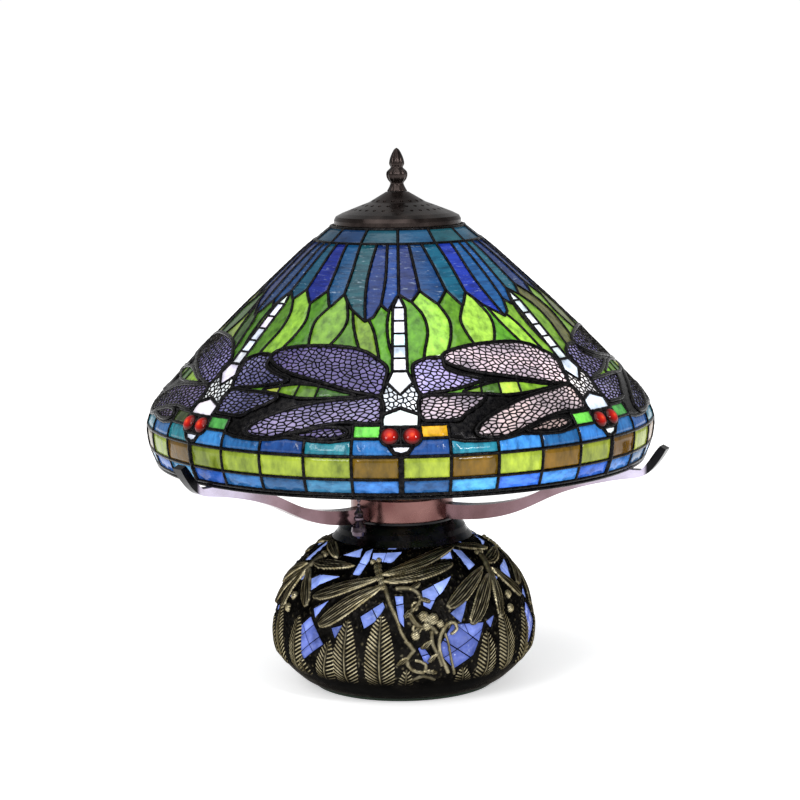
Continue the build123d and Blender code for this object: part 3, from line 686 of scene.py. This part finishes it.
def lead_net():
    """The solder beads along every line between two panes, as one set of rounded tubes."""
    curve = bpy.data.curves.new("lead_net", "CURVE")
    curve.dimensions, curve.bevel_depth, curve.bevel_resolution = "3D", MM, 2
    pairs = []
    for edge in LEAD:
        near = SIDES.get(edge, [])
        if len(near) == 2 and REGION[near[0]] == REGION[near[1]]:
            continue
        middle = POINTS[list(edge)].mean(0)
        if START <= middle[0] / FLAT < START + SECTOR and -1 < middle[1] < SHADE.s[-1] + 1:
            pairs.append(edge)
    for chain in chains_of(pairs):
        flat_points = POINTS[chain]
        widths = [LEAD[ordered(*e)] for e in zip(chain, chain[1:])]
        widths.append(widths[-1])
        lumps = 1 + 0.07 * np.sin(flat_points @ (0.9, 1.3))
        radii = np.maximum(widths, np.r_[widths[0], widths[:-1]]) * lumps
        for turn in range(DRAGONFLIES):
            sunk = np.where(flat_points[:, 1] < 1, 0.0, -0.2)
            placed = SHADE.place(flat_points[:, 0] / FLAT + turn * SECTOR, flat_points[:, 1], sunk)
            spline = curve.splines.new("POLY")
            spline.points.add(len(placed) - 1)
            spline.points.foreach_set("co", np.c_[placed, np.ones(len(placed))].ravel())
            spline.points.foreach_set("radius", radii)
    tubes = in_scene("lead_net", curve)
    mesh = bpy.data.meshes.new_from_object(tubes)
    bpy.data.objects.remove(tubes)
    piece = piece_of("lead_net", mesh, SOLDER, "shade", "lead")
    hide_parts("shade_leads", "lead_rings")


# ---- filigree and eyes ----
def circle_middles(corners):
    """The middle of the circle through the corners of each triangle."""
    (ax, ay), (bx, by), (cx, cy) = corners.transpose(1, 2, 0)
    d = 2 * (ax * (by - cy) + bx * (cy - ay) + cx * (ay - by))
    a2, b2, c2 = (corners ** 2).sum(2).T
    return np.stack([a2 * (by - cy) + b2 * (cy - ay) + c2 * (ay - by),
                     a2 * (cx - bx) + b2 * (ax - cx) + c2 * (bx - ax)], -1) / d[:, None]


def end_inside(outline, a, b):
    """Where a line from a towards b ends, at b or at the outline's edge."""
    steps = a + (b - a) * np.linspace(0, 1, 12)[:, None]
    stays = inside(steps, outline)
    return steps[np.argmin(stays) if not stays.all() else -1]


def cell_net(outline, root, tip, pitch, stretch):
    """Edges of the irregular cells of an etched net inside a flat outline, longer along the
    line from root to tip."""
    root, tip = np.array(root, float), np.array(tip, float)
    along = (tip - root) / np.linalg.norm(tip - root)
    turn = np.array([along, (-along[1], along[0])])
    local = (outline - root) @ turn.T / (stretch, 1)
    low, high = local.min(0) - 2 * pitch, local.max(0) + 2 * pitch
    seeds = []
    bottom = low[1] if along[0] > 0 else high[1]  # the trailing edge
    j, y = 0, low[1]
    while y < high[1]:
        fine = 1 - min(abs(y - bottom) / (high[1] - low[1]), 1)
        row, run = pitch * (1.05 - 0.45 * fine), pitch * (0.85 + 0.75 * fine)
        for x in np.arange(low[0], high[0], run):
            jitter = rng.uniform(-0.3, 0.3, 2) * (run, row)
            seeds.append(Vector((x + run / 2 * (j % 2) + jitter[0], y + jitter[1])))
        j, y = j + 1, y + row * 0.9
    verts, _, tris, _, _, _ = delaunay_2d_cdt(seeds, [], [], 0, 1e-4, False)
    corners = np.array([tuple(v) for v in verts])[np.array(tris)]
    centres = circle_middles(corners) * (stretch, 1) @ turn + root
    within = inside(centres, outline)
    net = []
    for pair in sides_of(tris).values():
        if len(pair) < 2 or not within[pair].any():
            continue
        a, b = centres[pair[0]], centres[pair[1]]
        if not within[pair].all():
            if not within[pair[0]]:
                a, b = b, a
            b = end_inside(outline, a, b)
        if np.hypot(*(b - a)) > 0.3:
            net.append((a, b))
    return net


def wire_prisms(net, half, low, high):
    """Small closed ridges along flat line pieces, once for each dragonfly."""
    a, b = np.array([n[0] for n in net]), np.array([n[1] for n in net])
    along = (b - a) / np.linalg.norm(b - a, axis=1)[:, None]
    across = np.stack([-along[:, 1], along[:, 0]], -1) * half
    a, b = a - along * half * 0.5, b + along * half * 0.5
    corners = [(a - across, low), (a + across, low), (a, high), (b - across, low),
               (b + across, low), (b, high)]
    verts, faces = [], []
    for turn in range(DRAGONFLIES):
        placed = np.stack([SHADE.place(p[:, 0] / FLAT + turn * SECTOR, p[:, 1], out)
                           for p, out in corners], 1).reshape(-1, 3)
        start = sum(len(v) for v in verts)
        verts.append(placed)
        for i in range(len(net)):
            k = start + 6 * i
            faces += [(k, k + 2, k + 5, k + 3), (k + 2, k + 1, k + 4, k + 5),
                      (k + 1, k, k + 3, k + 4), (k, k + 1, k + 2), (k + 3, k + 5, k + 4)]
    return np.concatenate(verts), faces


def filigree():
    """Etched brass net on every wing, finer along the trailing edge, and on the thorax."""
    net = []
    for name, root, tip, pitch, stretch in (
            ("wing_ul", (-4, 268), (-38, 280), 4.1, 1.25), ("wing_ur", (4, 268), (21, 266), 3.9, 1.3),
            ("wing_ll", (-4, 252), (-35, 234), 3.5, 1.5), ("wing_lr", (4, 249), (20, 254), 3.3, 1.5),
            ("lobe", (-13, 236), (-26, 230), 3.1, 1.4), ("thorax", (0, 262), (0, 247), 4.6, 0.9)):
        net += cell_net(OUTLINES[name], *flat([root, tip]), pitch, stretch)
    verts, faces = wire_prisms(net, 0.72, -0.1, 0.75)
    material = metal_material("etched_brass", (0.006, 0.006, 0.007), (0.03, 0.028, 0.025), 0.35,
                              patch=400, grain=1200)
    piece = mesh_object("wing_net", verts, faces, material, "shade", "filigree", smooth=False)
    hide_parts("wing_filigree")


def eyes():
    """Polished red cabochons, two on each dragonfly."""
    rings, turns, height = 12, 32, 3.6
    middle = float(SHADE.length_at(EYE_Z))
    radius = float(np.interp(middle, SHADE.s, SHADE.r))
    tilt = np.linspace(0, pi / 2, rings)[:, None]
    a = np.linspace(0, 2 * pi, turns, endpoint=False)
    across = np.degrees(EYE_R * np.cos(tilt) * np.cos(a) / radius)
    up, out = EYE_R * np.cos(tilt) * np.sin(a), 0.2 + height * np.sin(tilt)
    verts, faces = [], []
    for turn in range(DRAGONFLIES):
        for side in (-1, 1):
            first = len(verts)
            angle = side * EYE_ANGLE + turn * SECTOR + across
            verts.extend(SHADE.place(angle, middle + up, out).reshape(-1, 3))
            faces += ring_faces(rings, turns, first)
            faces.append(tuple(first + j for j in reversed(range(turns))))
    m = Nodes("red_cabochon", Roughness=0.04, Specular_IOR_Level=0.2)
    m.link(m.tint().outputs["Color"], "Base Color")
    m.link(m.tint().outputs["Color"], "Emission Color")
    # The cabochons glow a little in their own colours: painted light.
    m.bsdf.inputs["Emission Strength"].default_value = 0.3
    piece = mesh_object("cabochons", verts, faces, m.mat, "shade", "eye_red")
    # Colours from the rim of an eye to its top: painted shade at the rim and a painted glow at the top.
    ring = [(0.02, 0.001, 0.001), (0.03, 0.001, 0.001), (0.07, 0.002, 0.001), (0.20, 0.003, 0.002),
            (0.36, 0.006, 0.003), (0.62, 0.06, 0.01)]
    rim_to_top_painted_glow = [tuple(np.interp(i / (rings - 1), np.linspace(0, 1, 6), [c[k] for c in ring])
                    for k in range(3)) + (1.0,) for i in range(rings) for _ in range(turns)]
    set_tint(piece.data, rim_to_top_painted_glow * 2 * DRAGONFLIES)
    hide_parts("eye_cabochons")


# ---- the cast base ----
# One third of the base, repeated three times. Windows and their inner grout lines.
WINDOWS = [
    ([(-44, 113), (-33, 118), (-31, 113)], []),
    ([(-28, 116), (-24, 118), (-23, 111), (-25, 103), (-29, 103)], [[(-29, 110), (-23, 109)]]),
    ([(-21, 116), (-2, 117), (-8, 111), (-20, 112)], [[(-12, 118), (-13, 110)]]),
    ([(-58, 92), (-51, 98), (-38, 99), (-47, 93), (-53, 85)], [[(-50, 100), (-49, 89)]]),
    ([(-67, 90), (-66, 97), (-62, 93)], []),
    ([(-45, 75), (-38, 82), (-43, 69)], []),
    ([(-19, 74), (-10, 84), (-9, 81), (-12, 72), (-17, 66)], [[(-15, 81), (-11, 70)]]),
    ([(-54, 54), (-46, 67), (-38, 50), (-49, 36)],
     [[(-50, 61), (-43, 42)], [(-53, 47), (-43, 62)], [(-51, 41), (-40, 56)]]),
    ([(-33, 63), (-28, 66), (-31, 56)], []),
    ([(-4, 88), (0, 88), (0, 68), (-2, 72)], [[(-5, 81), (1, 83)]]),
    ([(24, 112), (37, 117), (34, 111)], []),
    ([(40, 116), (46, 114), (47, 105), (41, 103)], []),
    ([(10, 92), (16, 95), (26, 99), (19, 90), (16, 87), (13, 80), (10, 83)],
     [[(9, 87), (18, 86)], [(15, 97), (18, 86)]]),
    ([(22, 75), (31, 83), (26, 68)], []),
    ([(22, 65), (36, 63), (30, 42), (22, 34), (15, 48)],
     [[(17, 57), (30, 40)], [(17, 42), (34, 58)], [(21, 66), (33, 48)], [(26, 66), (28, 55)]]),
    ([(6, 50), (8, 52), (12, 41), (9, 37)], [[(7, 44), (11, 46)]]),
    ([(39, 65), (44, 68), (41, 60)], []),
    ([(51, 71), (52, 86), (55, 75)], []),
]
THIRD, WINDOWS_FROM = 120, -68  # degrees
WINDOW_FLAT = 1.8  # mm for a degree where the windows are laid flat
SCROLL_R = 100  # mm, about the base's radius where its tendrils are
WINDOW_DEPTH = 1.5
WINDOW_GROWTH = 1.16  # how far each window is widened about its middle
GROUT = 0.9  # mm that a tile is drawn in from its edge


class Relief:
    """Heights in mm over a grid of the base's surface, drawn motif by motif."""

    def __init__(self, across, up):
        self.angle = np.linspace(0, 360, across, endpoint=False) - 180
        self.s = np.linspace(0, FOOT.s[-1], up)
        self.a, self.v = np.meshgrid(self.angle, self.s)
        self.r = np.interp(self.v, FOOT.s, FOOT.r)
        self.h = np.zeros_like(self.a)
        self.rub = np.zeros_like(self.a)

    def local(self, point):
        """Each grid point as mm right of and above a pattern point, every third alike."""
        turn = (self.a - point[0] + THIRD / 2) % THIRD - THIRD / 2
        return np.radians(turn) * self.r, self.v - float(FOOT.length_at(point[1]))

    def along(self, root, tip):
        """Share of the way from root to tip, and mm across it, with the distance in mm."""
        x, y = self.local(root)
        rise = float(FOOT.length_at(tip[1]) - FOOT.length_at(root[1]))
        halfway = (FOOT.length_at(tip[1]) + FOOT.length_at(root[1])) / 2
        middle = float(np.interp(halfway, FOOT.s, FOOT.r))
        run = radians(tip[0] - root[0]) * middle
        span = hypot(run, rise)
        return (x * run + y * rise) / span ** 2, (y * run - x * rise) / span, span

    def raise_to(self, height, where, rub):
        """Lets a motif stand where it is higher than what is there, with its share of rubbing."""
        higher = where & (height > self.h)
        self.h = np.where(higher, height, self.h)
        self.rub = np.where(higher, rub, self.rub)

    def wing(self, root, tip, width, veins, rub=1.0):
        """A long wing with raised edges and veins that run together at its root."""
        t, across, span = self.along(root, tip)
        safe = np.clip(t, 1e-3, 1 - 1e-3)
        half = width * 1.7 * safe ** 0.62 * (1 - safe) ** 0.42
        b = across / half + 0.10 * np.sin(5 * safe)
        pitch = 2 / veins
        off = np.abs((b / pitch + 0.5) % 1 - 0.5) * pitch * half  # mm from the nearest vein
        vein = np.exp(-(off / 0.42) ** 2)
        edge = np.exp(-((1 - np.abs(b)) * half / 0.8) ** 2)
        line = np.maximum(vein * (0.35 + 0.65 * np.abs(np.sin(span * safe * 0.09 + 4 * b))), edge)
        where = (t > 0) & (t < 1) & (np.abs(b) < 1)
        self.raise_to(1.2 + 0.9 * (1 - b * b) + 0.9 * line, where,
                      rub * (1.15 - 0.6 * safe) * (0.03 + line))

    def rod(self, points, radius, taper=0.0, rub=0.8):
        """A rounded body along pattern points."""
        if len(points) > 2:
            points = curve_through(points, step=3.0)
        count = len(points) - 1
        for i in range(count):
            t, across, span = self.along(points[i], points[i + 1])
            size = radius * (1 - taper * i / max(count, 1))
            past = (t - np.clip(t, 0, 1)) * span
            d2 = across ** 2 + past ** 2
            self.raise_to(0.9 + np.sqrt(np.maximum(size * size - d2, 0)), d2 < size * size, rub)

    def fern(self, root, tip, width, leaves):
        """A frond: a stem with strokes that slant up from it on both sides."""
        t, across, span = self.along(root, tip)
        safe = np.clip(t, 1e-3, 1 - 1e-3)
        half = width * np.sin(pi * safe ** 0.75) ** 0.55
        b = np.abs(across) / half
        step = span / leaves
        off = np.abs((safe * leaves - 0.75 * np.abs(across) / step + 0.5) % 1 - 0.5) * step
        stroke = np.exp(-(off / 0.48) ** 2) * np.clip(b * 3, 0, 1)
        stem = np.exp(-(across / 0.7) ** 2) * (1 - 0.6 * safe)
        self.raise_to(0.7 + 0.9 * (1 - b) + 1.3 * np.maximum(stroke, stem),
                      (t > 0) & (t < 1) & (b < 1), 0.9 * (0.03 + np.maximum(stroke, 0.8 * stem)))

    def scroll(self, middle, size, turns, radius, start):
        """A tendril that winds in towards its middle."""
        points = []
        for a in np.arange(start, start + 2 * pi * turns, 0.5):
            rho = size * (1 - 0.8 * (a - start) / (2 * pi * turns))
            points.append((middle[0] + np.degrees(rho * cos(a) / SCROLL_R), middle[1] + rho * sin(a)))
        self.rod(points, radius, 0.4)

    def cone(self, middle, size):
        """A knob of scales."""
        x, y = self.local(middle)
        rho = np.hypot(x, y) / size
        scales = np.abs(np.sin(x * 1.9 + y * 1.1) * np.sin(y * 1.9 - x * 1.1))
        dome = 1.0 + 2.0 * np.sqrt(np.maximum(1 - rho ** 2, 0))
        self.raise_to(dome + scales, rho < 1, 0.5 + 0.5 * scales)

    def ground(self):
        """The dark cast ground, uneven, with a raised edge round each window."""
        cloud = self.soften(rng.normal(0, 1, self.a.shape), 3)
        cloud /= 3 * cloud.std()
        rim = np.clip(self.soften((self.h < 0) * 1.0, 5) * 4, 0, 1)
        bare = self.h == 0
        self.h = np.where(bare, 0.5 + 0.7 * cloud + 0.8 * rim, self.h)
        self.rub = np.where(bare, 0.7 * np.clip(cloud - 0.3, 0, 0.5), self.rub)

    def windows(self):
        """Cuts the windows, as heights below the ground."""
        turn = (self.a - WINDOWS_FROM) % THIRD + WINDOWS_FROM
        spots = np.stack([turn.ravel(), self.v.ravel()], -1)
        for outline, _ in WINDOWS:
            shape = np.array([(a, FOOT.length_at(z)) for a, z in outline])
            shape = shape.mean(0) + (shape - shape.mean(0)) * WINDOW_GROWTH
            self.h = np.where(inside(spots, shape).reshape(self.a.shape), -WINDOW_DEPTH, self.h)

    def soften(self, values, reach):
        """Averages a grid with its neighbours, once for each step of reach."""
        out = values.copy()
        for _ in range(reach):
            padded = np.pad(out, ((1, 1), (0, 0)), "edge")
            out = (padded[:-2] + 2 * out + padded[2:]) / 4
            out = (np.roll(out, 1, 1) + 2 * out + np.roll(out, -1, 1)) / 4
        return out


def draw_base(relief):
    """In each third: dragonflies, ferns, and between two of them a plant that winds up."""
    relief.windows()
    for root, tip, width, veins in (
            ((-12, 101), (-50, 83), 6.0, 6), ((-10, 96), (-42, 64), 7.5, 7),
            ((-12, 102), (36, 123), 7.5, 7), ((-11, 98), (29, 107), 6.5, 6),
            ((51, 102), (18, 79), 6.5, 6), ((52, 97), (29, 65), 7.0, 6),
            ((55, 98), (47, 66), 5.5, 5), ((57, 100), (71, 75), 6.0, 5),
            ((-46, 110), (-74, 120), 5.5, 5), ((-30, 107), (-64, 104), 5.5, 5)):
        relief.wing(root, tip, width, veins)
    for step in range(6):
        at = (-15.2 + 1.0 * step, 107.5 - 2.6 * step)
        relief.cone(at, 3.3 - 0.15 * step)
    # Bodies and tails, then eyes.
    relief.rod([(-9, 94), (-6, 83), (-3, 73), (-1, 63), (2, 54)], 1.7, 0.4, 0.55)
    relief.rod([(58, 108), (54, 99), (52, 94)], 2.8, 0.3, 0.5)
    relief.rod([(52, 94), (49, 84), (48, 77)], 1.6, 0.4, 0.5)
    for spot in ((-19.2, 110.5), (-15.6, 111.6), (57, 110.5), (61, 110)):
        relief.cone(spot, 2.3)
    for root, tip, width, leaves in (
            ((-27, 12), (-25, 71), 10.5, 19), ((-11, 12), (-10, 76), 12, 21),
            ((-40, 14), (-33, 53), 9, 12), ((51, 22), (49, 72), 9.5, 17), ((38, 14), (38, 58), 9.5, 14),
            ((64, 18), (67, 68), 8.5, 16), ((29, 13), (25, 33), 7, 7), ((-51, 13), (-50, 36), 7.5, 7),
            ((0, 12), (1, 34), 6, 7)):
        relief.fern(root, tip, width, leaves)
    # The winding plant: stems, small leaves, tendrils and fruit.
    relief.rod([(19, 30), (16, 42), (15, 52), (16, 60), (19, 67), (22.5, 68), (23.5, 63), (21, 60)],
               1.4, 0.0, 0.6)
    relief.rod([(22, 28), (20, 42), (19, 54), (18, 60)], 1.1, 0.0, 0.45)
    relief.rod([(-3, 94), (3, 94), (7, 91), (8, 86), (5, 80), (3, 76)], 1.7, 0.3, 0.5)
    relief.rod([(3, 76), (5, 70), (8, 66), (12, 66), (14, 62)], 2.2, 0.3, 0.5)
    relief.rod([(1, 56), (4, 49), (1, 42), (3, 34), (8, 31), (9, 38), (5, 41)], 1.6, 0.3, 0.5)
    relief.rod([(12, 62), (12, 54), (14, 46), (16, 36)], 1.6, 0.4, 0.45)
    for root, tip, width in (((3, 93), (9, 97), 2.6), ((7, 88), (13, 84), 2.4), ((5, 80), (0, 74), 2.4),
                             ((8, 66), (3, 60), 2.4), ((12, 56), (7, 50), 2.2), ((2, 44), (-3, 38), 2.2),
                             ((14, 46), (10, 39), 2.0), ((8, 33), (14, 30), 2.0)):
        relief.wing(root, tip, width, 3, 0.8)
    relief.rod([(3, 24), (8, 28), (13, 24)], 1.5, 0.0, 0.35)
    relief.scroll((5.5, 81), 3.6, 1.2, 1.0, 0.6)
    relief.scroll((6, 65), 3.8, 1.2, 1.0, 2.0)
    for spot, size in (((9, 74), 4.2), ((13, 72), 4.4), ((5, 60), 3.4), ((16, 68), 3.0),
                       ((10, 67), 3.4), ((-62, 80), 3.5), ((-64, 70), 3.5)):
        relief.cone(spot, size)
    relief.ground()


def cast_base():
    """The base's skin with its relief, dark in the ground and rubbed bright on the ridges."""
    relief = Relief(1080, 236)
    draw_base(relief)
    foot = np.clip((relief.v - 26) / 12, 0, 1)  # plain below, and flush with the neck ring above
    top = np.clip((FOOT.s[-1] - relief.v) / 6, 0, 1)
    height = relief.soften(relief.h, 1) * foot * top
    ridge = np.clip((relief.h - relief.soften(relief.h, 4)) * 1.6, 0, 1)
    rub = np.clip(relief.rub ** 1.7 * (0.35 + 1.1 * ridge), 0, 1) * foot
    verts = FOOT.place(relief.a, relief.v, height - 0.3).reshape(-1, 3)
    m = Nodes("cast_bronze", Metallic=0.9, Specular_IOR_Level=0.15, Specular_Tint=(0.3, 0.27, 0.22, 1))
    patina = m.ramp(m.noise(70, 5.0), (0.3, (0.002, 0.002, 0.002)), (0.75, (0.012, 0.011, 0.010)))
    gold = m.ramp(m.noise(160, 4.0), (0.3, (0.34, 0.28, 0.14)), (0.7, (0.92, 0.82, 0.54)))
    m.link(m.mix(m.tint().outputs["Fac"], patina, gold), "Base Color")
    m.link(m.ramp(m.noise(220, 4.0), (0.3, (0.3,) * 3), (0.7, (0.5,) * 3)), "Roughness")
    m.bump(m.noise(900, 3.0), 0.3, 0.0004)
    faces = ring_faces(*relief.a.shape)
    piece = mesh_object("cast_base", verts, faces, m.mat, "stand", "cast_bronze")
    shade = rub.ravel()
    set_tint(piece.data, np.stack([shade, shade, shade, np.ones_like(shade)], -1))
    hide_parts("base_shell")


def laid(pattern):
    """Points of the base's pattern laid out flat."""
    return np.array([(a * WINDOW_FLAT, float(FOOT.length_at(z))) for a, z in pattern])


def tiles_of(outline, cuts):
    """The tiles of one window: the middle, flat points and triangles of each."""
    ring = laid(outline)
    middle = ring.mean(0)
    edge = line_through(middle + (ring - middle) * WINDOW_GROWTH, True)
    points, edges = list(edge), [(i, (i + 1) % len(edge)) for i in range(len(edge))]
    for ends in cuts:
        line = line_through(middle + (laid(ends) - middle) * (WINDOW_GROWTH + 0.25))
        edges += [(len(points) + i, len(points) + i + 1) for i in range(len(line) - 1)]
        points += list(line)
    spots, ends, tris, _, sources, _ = delaunay_2d_cdt(
        [Vector(map(float, p)) for p in points], edges, [], 0, 0.02, True)
    spots = np.array([tuple(p) for p in spots])
    lead = {ordered(*e) for e, source in zip(ends, sources) if source}
    region = regions_of(tris, lead)
    for number in sorted(set(region)):
        group = [tri for tri, own in zip(tris, region) if own == number]
        if len(group) < 3 or not inside(spots[np.array(group)].mean(1), edge).all():
            continue
        used = sorted({v for tri in group for v in tri})
        local = {v: i for i, v in enumerate(used)}
        centre = spots[used].mean(0)
        size = np.hypot(*(spots[used] - centre).T).max()
        small = centre + (spots[used] - centre) * (1 - GROUT / max(size, 2.0))
        yield centre, small, [[local[v] for v in tri] for tri in group]


def mosaic():
    """The lit tiles in the windows of the base, a little smaller than their openings."""
    low_glass, high_glass = np.array((0.075, 0.105, 0.34)), np.array((0.24, 0.33, 0.74))
    verts, faces, tints = [], [], []
    for centre, small, tris in (tile for window in WINDOWS for tile in tiles_of(*window)):
        height = float(np.interp(centre[1], FOOT.s, FOOT.z))
        base = low_glass + (high_glass - low_glass) * np.clip((height - 55) / 50, 0, 1)
        for third in range(3):
            faces += [tuple(len(verts) + v for v in tri) for tri in tris]
            verts.extend(FOOT.place(small[:, 0] / WINDOW_FLAT + third * THIRD, small[:, 1], -0.2))
            shade = rng.uniform(0.8, 1.25)
            tints += [tuple(c * shade for c in base) + (1.0,)] * len(small)
    glass = glass_material("mosaic_glass", (60, 60, 60), (160, 160, 160), 0.3, 0.75)
    piece = mesh_object("mosaic_tiles", verts, faces, glass, "stand", "mosaic_glass")
    set_tint(piece.data, tints)
    thicken(piece, 1.0)
    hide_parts("base_mosaic")


# ---- finial and finishes of the CAD pieces ----
def fluted_finial():
    """The finial with its shallow flutes, on the CAD finial's outline."""
    outline = [(3.1, 397.4), (8, 397.4), (7.4, 399), (5.6, 402.4), (5.5, 404.2), (7.6, 406.8),
               (8.7, 410), (8.2, 413), (5.4, 415.6), (5.0, 416.6), (6.2, 419), (5.6, 423),
               (4.0, 427), (2.0, 430.4), (0.3, 431.7)]

    def flute(r, z, a):
        depth = 0.09 if 405 < z < 414.5 else 0.07 if z > 417 else 0.05 if z < 401 else 0
        return r * (1 - depth * (0.5 + 0.5 * cos(12 * a)))

    piece = lathe("fluted_finial", outline, flute, FINISH["cap_bronze"], "finial", "cap_bronze")
    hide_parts("finial")


def arm_material():
    """Plum-brown lacquer near the collar, a painted pale reflection along the bar, and a painted black
    shadow at the horn.
    """
    m = Nodes("copper_arm", Metallic=0.9)
    reach = m.add("ShaderNodeVectorMath", Vector=m.stretched((1, 1, 0)))
    reach.operation = "LENGTH"
    share = m.add("ShaderNodeMath")  # 1 at a quarter of a metre from the axis
    share.operation = "MULTIPLY"
    m.tree.links.new(reach.outputs["Value"], share.inputs[0])
    share.inputs[1].default_value = 4.0
    # Brown is the lacquer's own colour; pale is a painted reflection and black a painted shadow at the
    # horn.
    brown, pale, black = (0.15, 0.085, 0.09), (0.50, 0.46, 0.56), (0.008, 0.008, 0.009)
    lacquer_and_painted_light = m.ramp(share.outputs[0], (0.30, brown), (0.55, (0.26, 0.18, 0.20)), (0.72, pale),
                 (0.825, pale), (0.835, black), (1.0, black))
    patches = m.ramp(m.noise(40, 4.0), (0.3, (0.7, 0.66, 0.66)), (0.7, (1.1, 1.1, 1.15)))
    m.link(m.mix(1.0, lacquer_and_painted_light, patches, "MULTIPLY"), "Base Color")
    m.rough(90, 0.14, 0.28)
    m.bump(m.noise(500, 3.0), 0.08, 0.0003)
    return m.mat


# Each slot of the CAD pieces that stay: its kind of surface and that function's values.
FINISHES = {
    "felt": (plain_material, (0.03, 0.05, 0.035), 0.95, 700, 0.8),
    "steel": (metal_material, (0.42, 0.42, 0.43), (0.6, 0.6, 0.6), 0.3),
    "ceramic": (plain_material, (0.8, 0.78, 0.72), 0.25),
    "brass": (metal_material, (0.55, 0.38, 0.14), (0.72, 0.52, 0.22), 0.25),
    "frosted_glass": (plain_material, (0.72, 0.69, 0.62), 0.3, 200, 0.02, 0.05),
    "black_plastic": (plain_material, (0.02, 0.02, 0.02), 0.45),
    "black_metal": (metal_material, (0.012, 0.012, 0.013), (0.035, 0.033, 0.034), 0.28),
    "copper": (metal_material, (0.11, 0.045, 0.042), (0.22, 0.11, 0.10), 0.26, 0.92, 45),
    "cap_bronze": (metal_material, (0.016, 0.011, 0.010), (0.055, 0.042, 0.038), 0.24, 0.9, 60),
    "aluminium": (metal_material, (0.6, 0.6, 0.62), (0.75, 0.75, 0.76), 0.25),
    "drop_bronze": (metal_material, (0.05, 0.036, 0.045), (0.16, 0.12, 0.15), 0.16, 0.9, 200),
}
FINISH = {name: make(name, *values) for name, (make, *values) in FINISHES.items()}
FINISH |= {"copper_arm": arm_material(), "lead": SOLDER}


def finish_cad():
    """Gives every CAD piece that stays its worked finish, and rounds the arms' edges."""
    slot_of = {part["node"]: part["material_slot"] for part in frame["record"]["subparts"]}
    for name, piece in frame["nodes"].items():
        if slot_of[name] in FINISH:
            piece.data.materials.clear()
            piece.data.materials.append(FINISH[slot_of[name]])
        if name.startswith("arm_") and name != "arm_screws":
            soft = piece.modifiers.new("soft_edges", "BEVEL")
            soft.width, soft.segments, soft.limit_method = 1.2 * MM, 3, "ANGLE"
            soft.angle_limit = radians(40)


# ---- stage, light and camera ----
def stage():
    """A white floor, and an even white room that the camera sees brighter."""
    floor = bpy.data.meshes.new("floor")
    floor.from_pydata([(-6, -6, 0), (6, -6, 0), (6, 6, 0), (-6, 6, 0)], [], [(0, 1, 2, 3)])
    floor.materials.append(Nodes("floor", Base_Color=(0.95, 0.95, 0.95, 1), Roughness=0.7,
                                 Emission_Color=(1, 1, 1, 1), Emission_Strength=0.46).mat)
    in_scene("floor", floor)
    world = bpy.data.worlds.new("studio")
    world.use_nodes = True
    tree = world.node_tree
    backdrop, ambient = tree.nodes["Background"], tree.nodes.new("ShaderNodeBackground")
    for node, strength in ((backdrop, 1.02), (ambient, 0.42)):
        node.inputs["Color"].default_value = (1, 1, 1, 1)
        node.inputs["Strength"].default_value = strength
    seen = tree.nodes.new("ShaderNodeLightPath")
    choose = tree.nodes.new("ShaderNodeMixShader")
    tree.links.new(seen.outputs["Is Camera Ray"], choose.inputs[0])
    tree.links.new(ambient.outputs[0], choose.inputs[1])
    tree.links.new(backdrop.outputs[0], choose.inputs[2])
    tree.links.new(choose.outputs[0], tree.nodes["World Output"].inputs["Surface"])
    bpy.context.scene.world = world
    bpy.context.scene.view_settings.view_transform = "Standard"


def lights():
    """A broad light from above, a key from the left and a small glare from the right."""
    for name, kind, place, size, power in (
            ("sun", "SUN", (-0.3, -0.5, 1.6), radians(70), 1.9),
            ("key", "AREA", (-0.9, -1.5, 1.1), 0.5, 9), ("glare", "AREA", (0.75, -1.2, 1.0), 0.22, 7)):
        light = bpy.data.lights.new(name, kind)
        light.energy = power
        if kind == "SUN":
            light.angle = size
        else:
            light.size = size
        lamp = in_scene(name, light)
        lamp.location = place
        aim = Vector((0, 0, 0.25)) - Vector(place)
        lamp.rotation_euler = aim.to_track_quat("-Z", "Y").to_euler()


LENS, SENSOR = 102.1, 36  # mm


def camera():
    """Straight on, a little above, with the lamp's slight lean in the frame."""
    distance, tilt, roll = 1.83, radians(8.15), radians(0.87)
    target = Vector((-0.0002, 0, 0.2294))
    eye = in_scene("camera", bpy.data.cameras.new("camera"))
    eye.data.lens, eye.data.sensor_width = LENS, SENSOR
    eye.location = target + distance * Vector((0, -cos(tilt), sin(tilt)))
    look = (target - eye.location).to_track_quat("-Z", "Y")
    eye.rotation_euler = (look @ Euler((0, 0, -roll)).to_quaternion()).to_euler()
    bpy.context.scene.camera = eye


stage()
lights()
camera()
glass_pieces()
lead_net()
filigree()
eyes()
cast_base()
mosaic()
fluted_finial()
finish_cad()
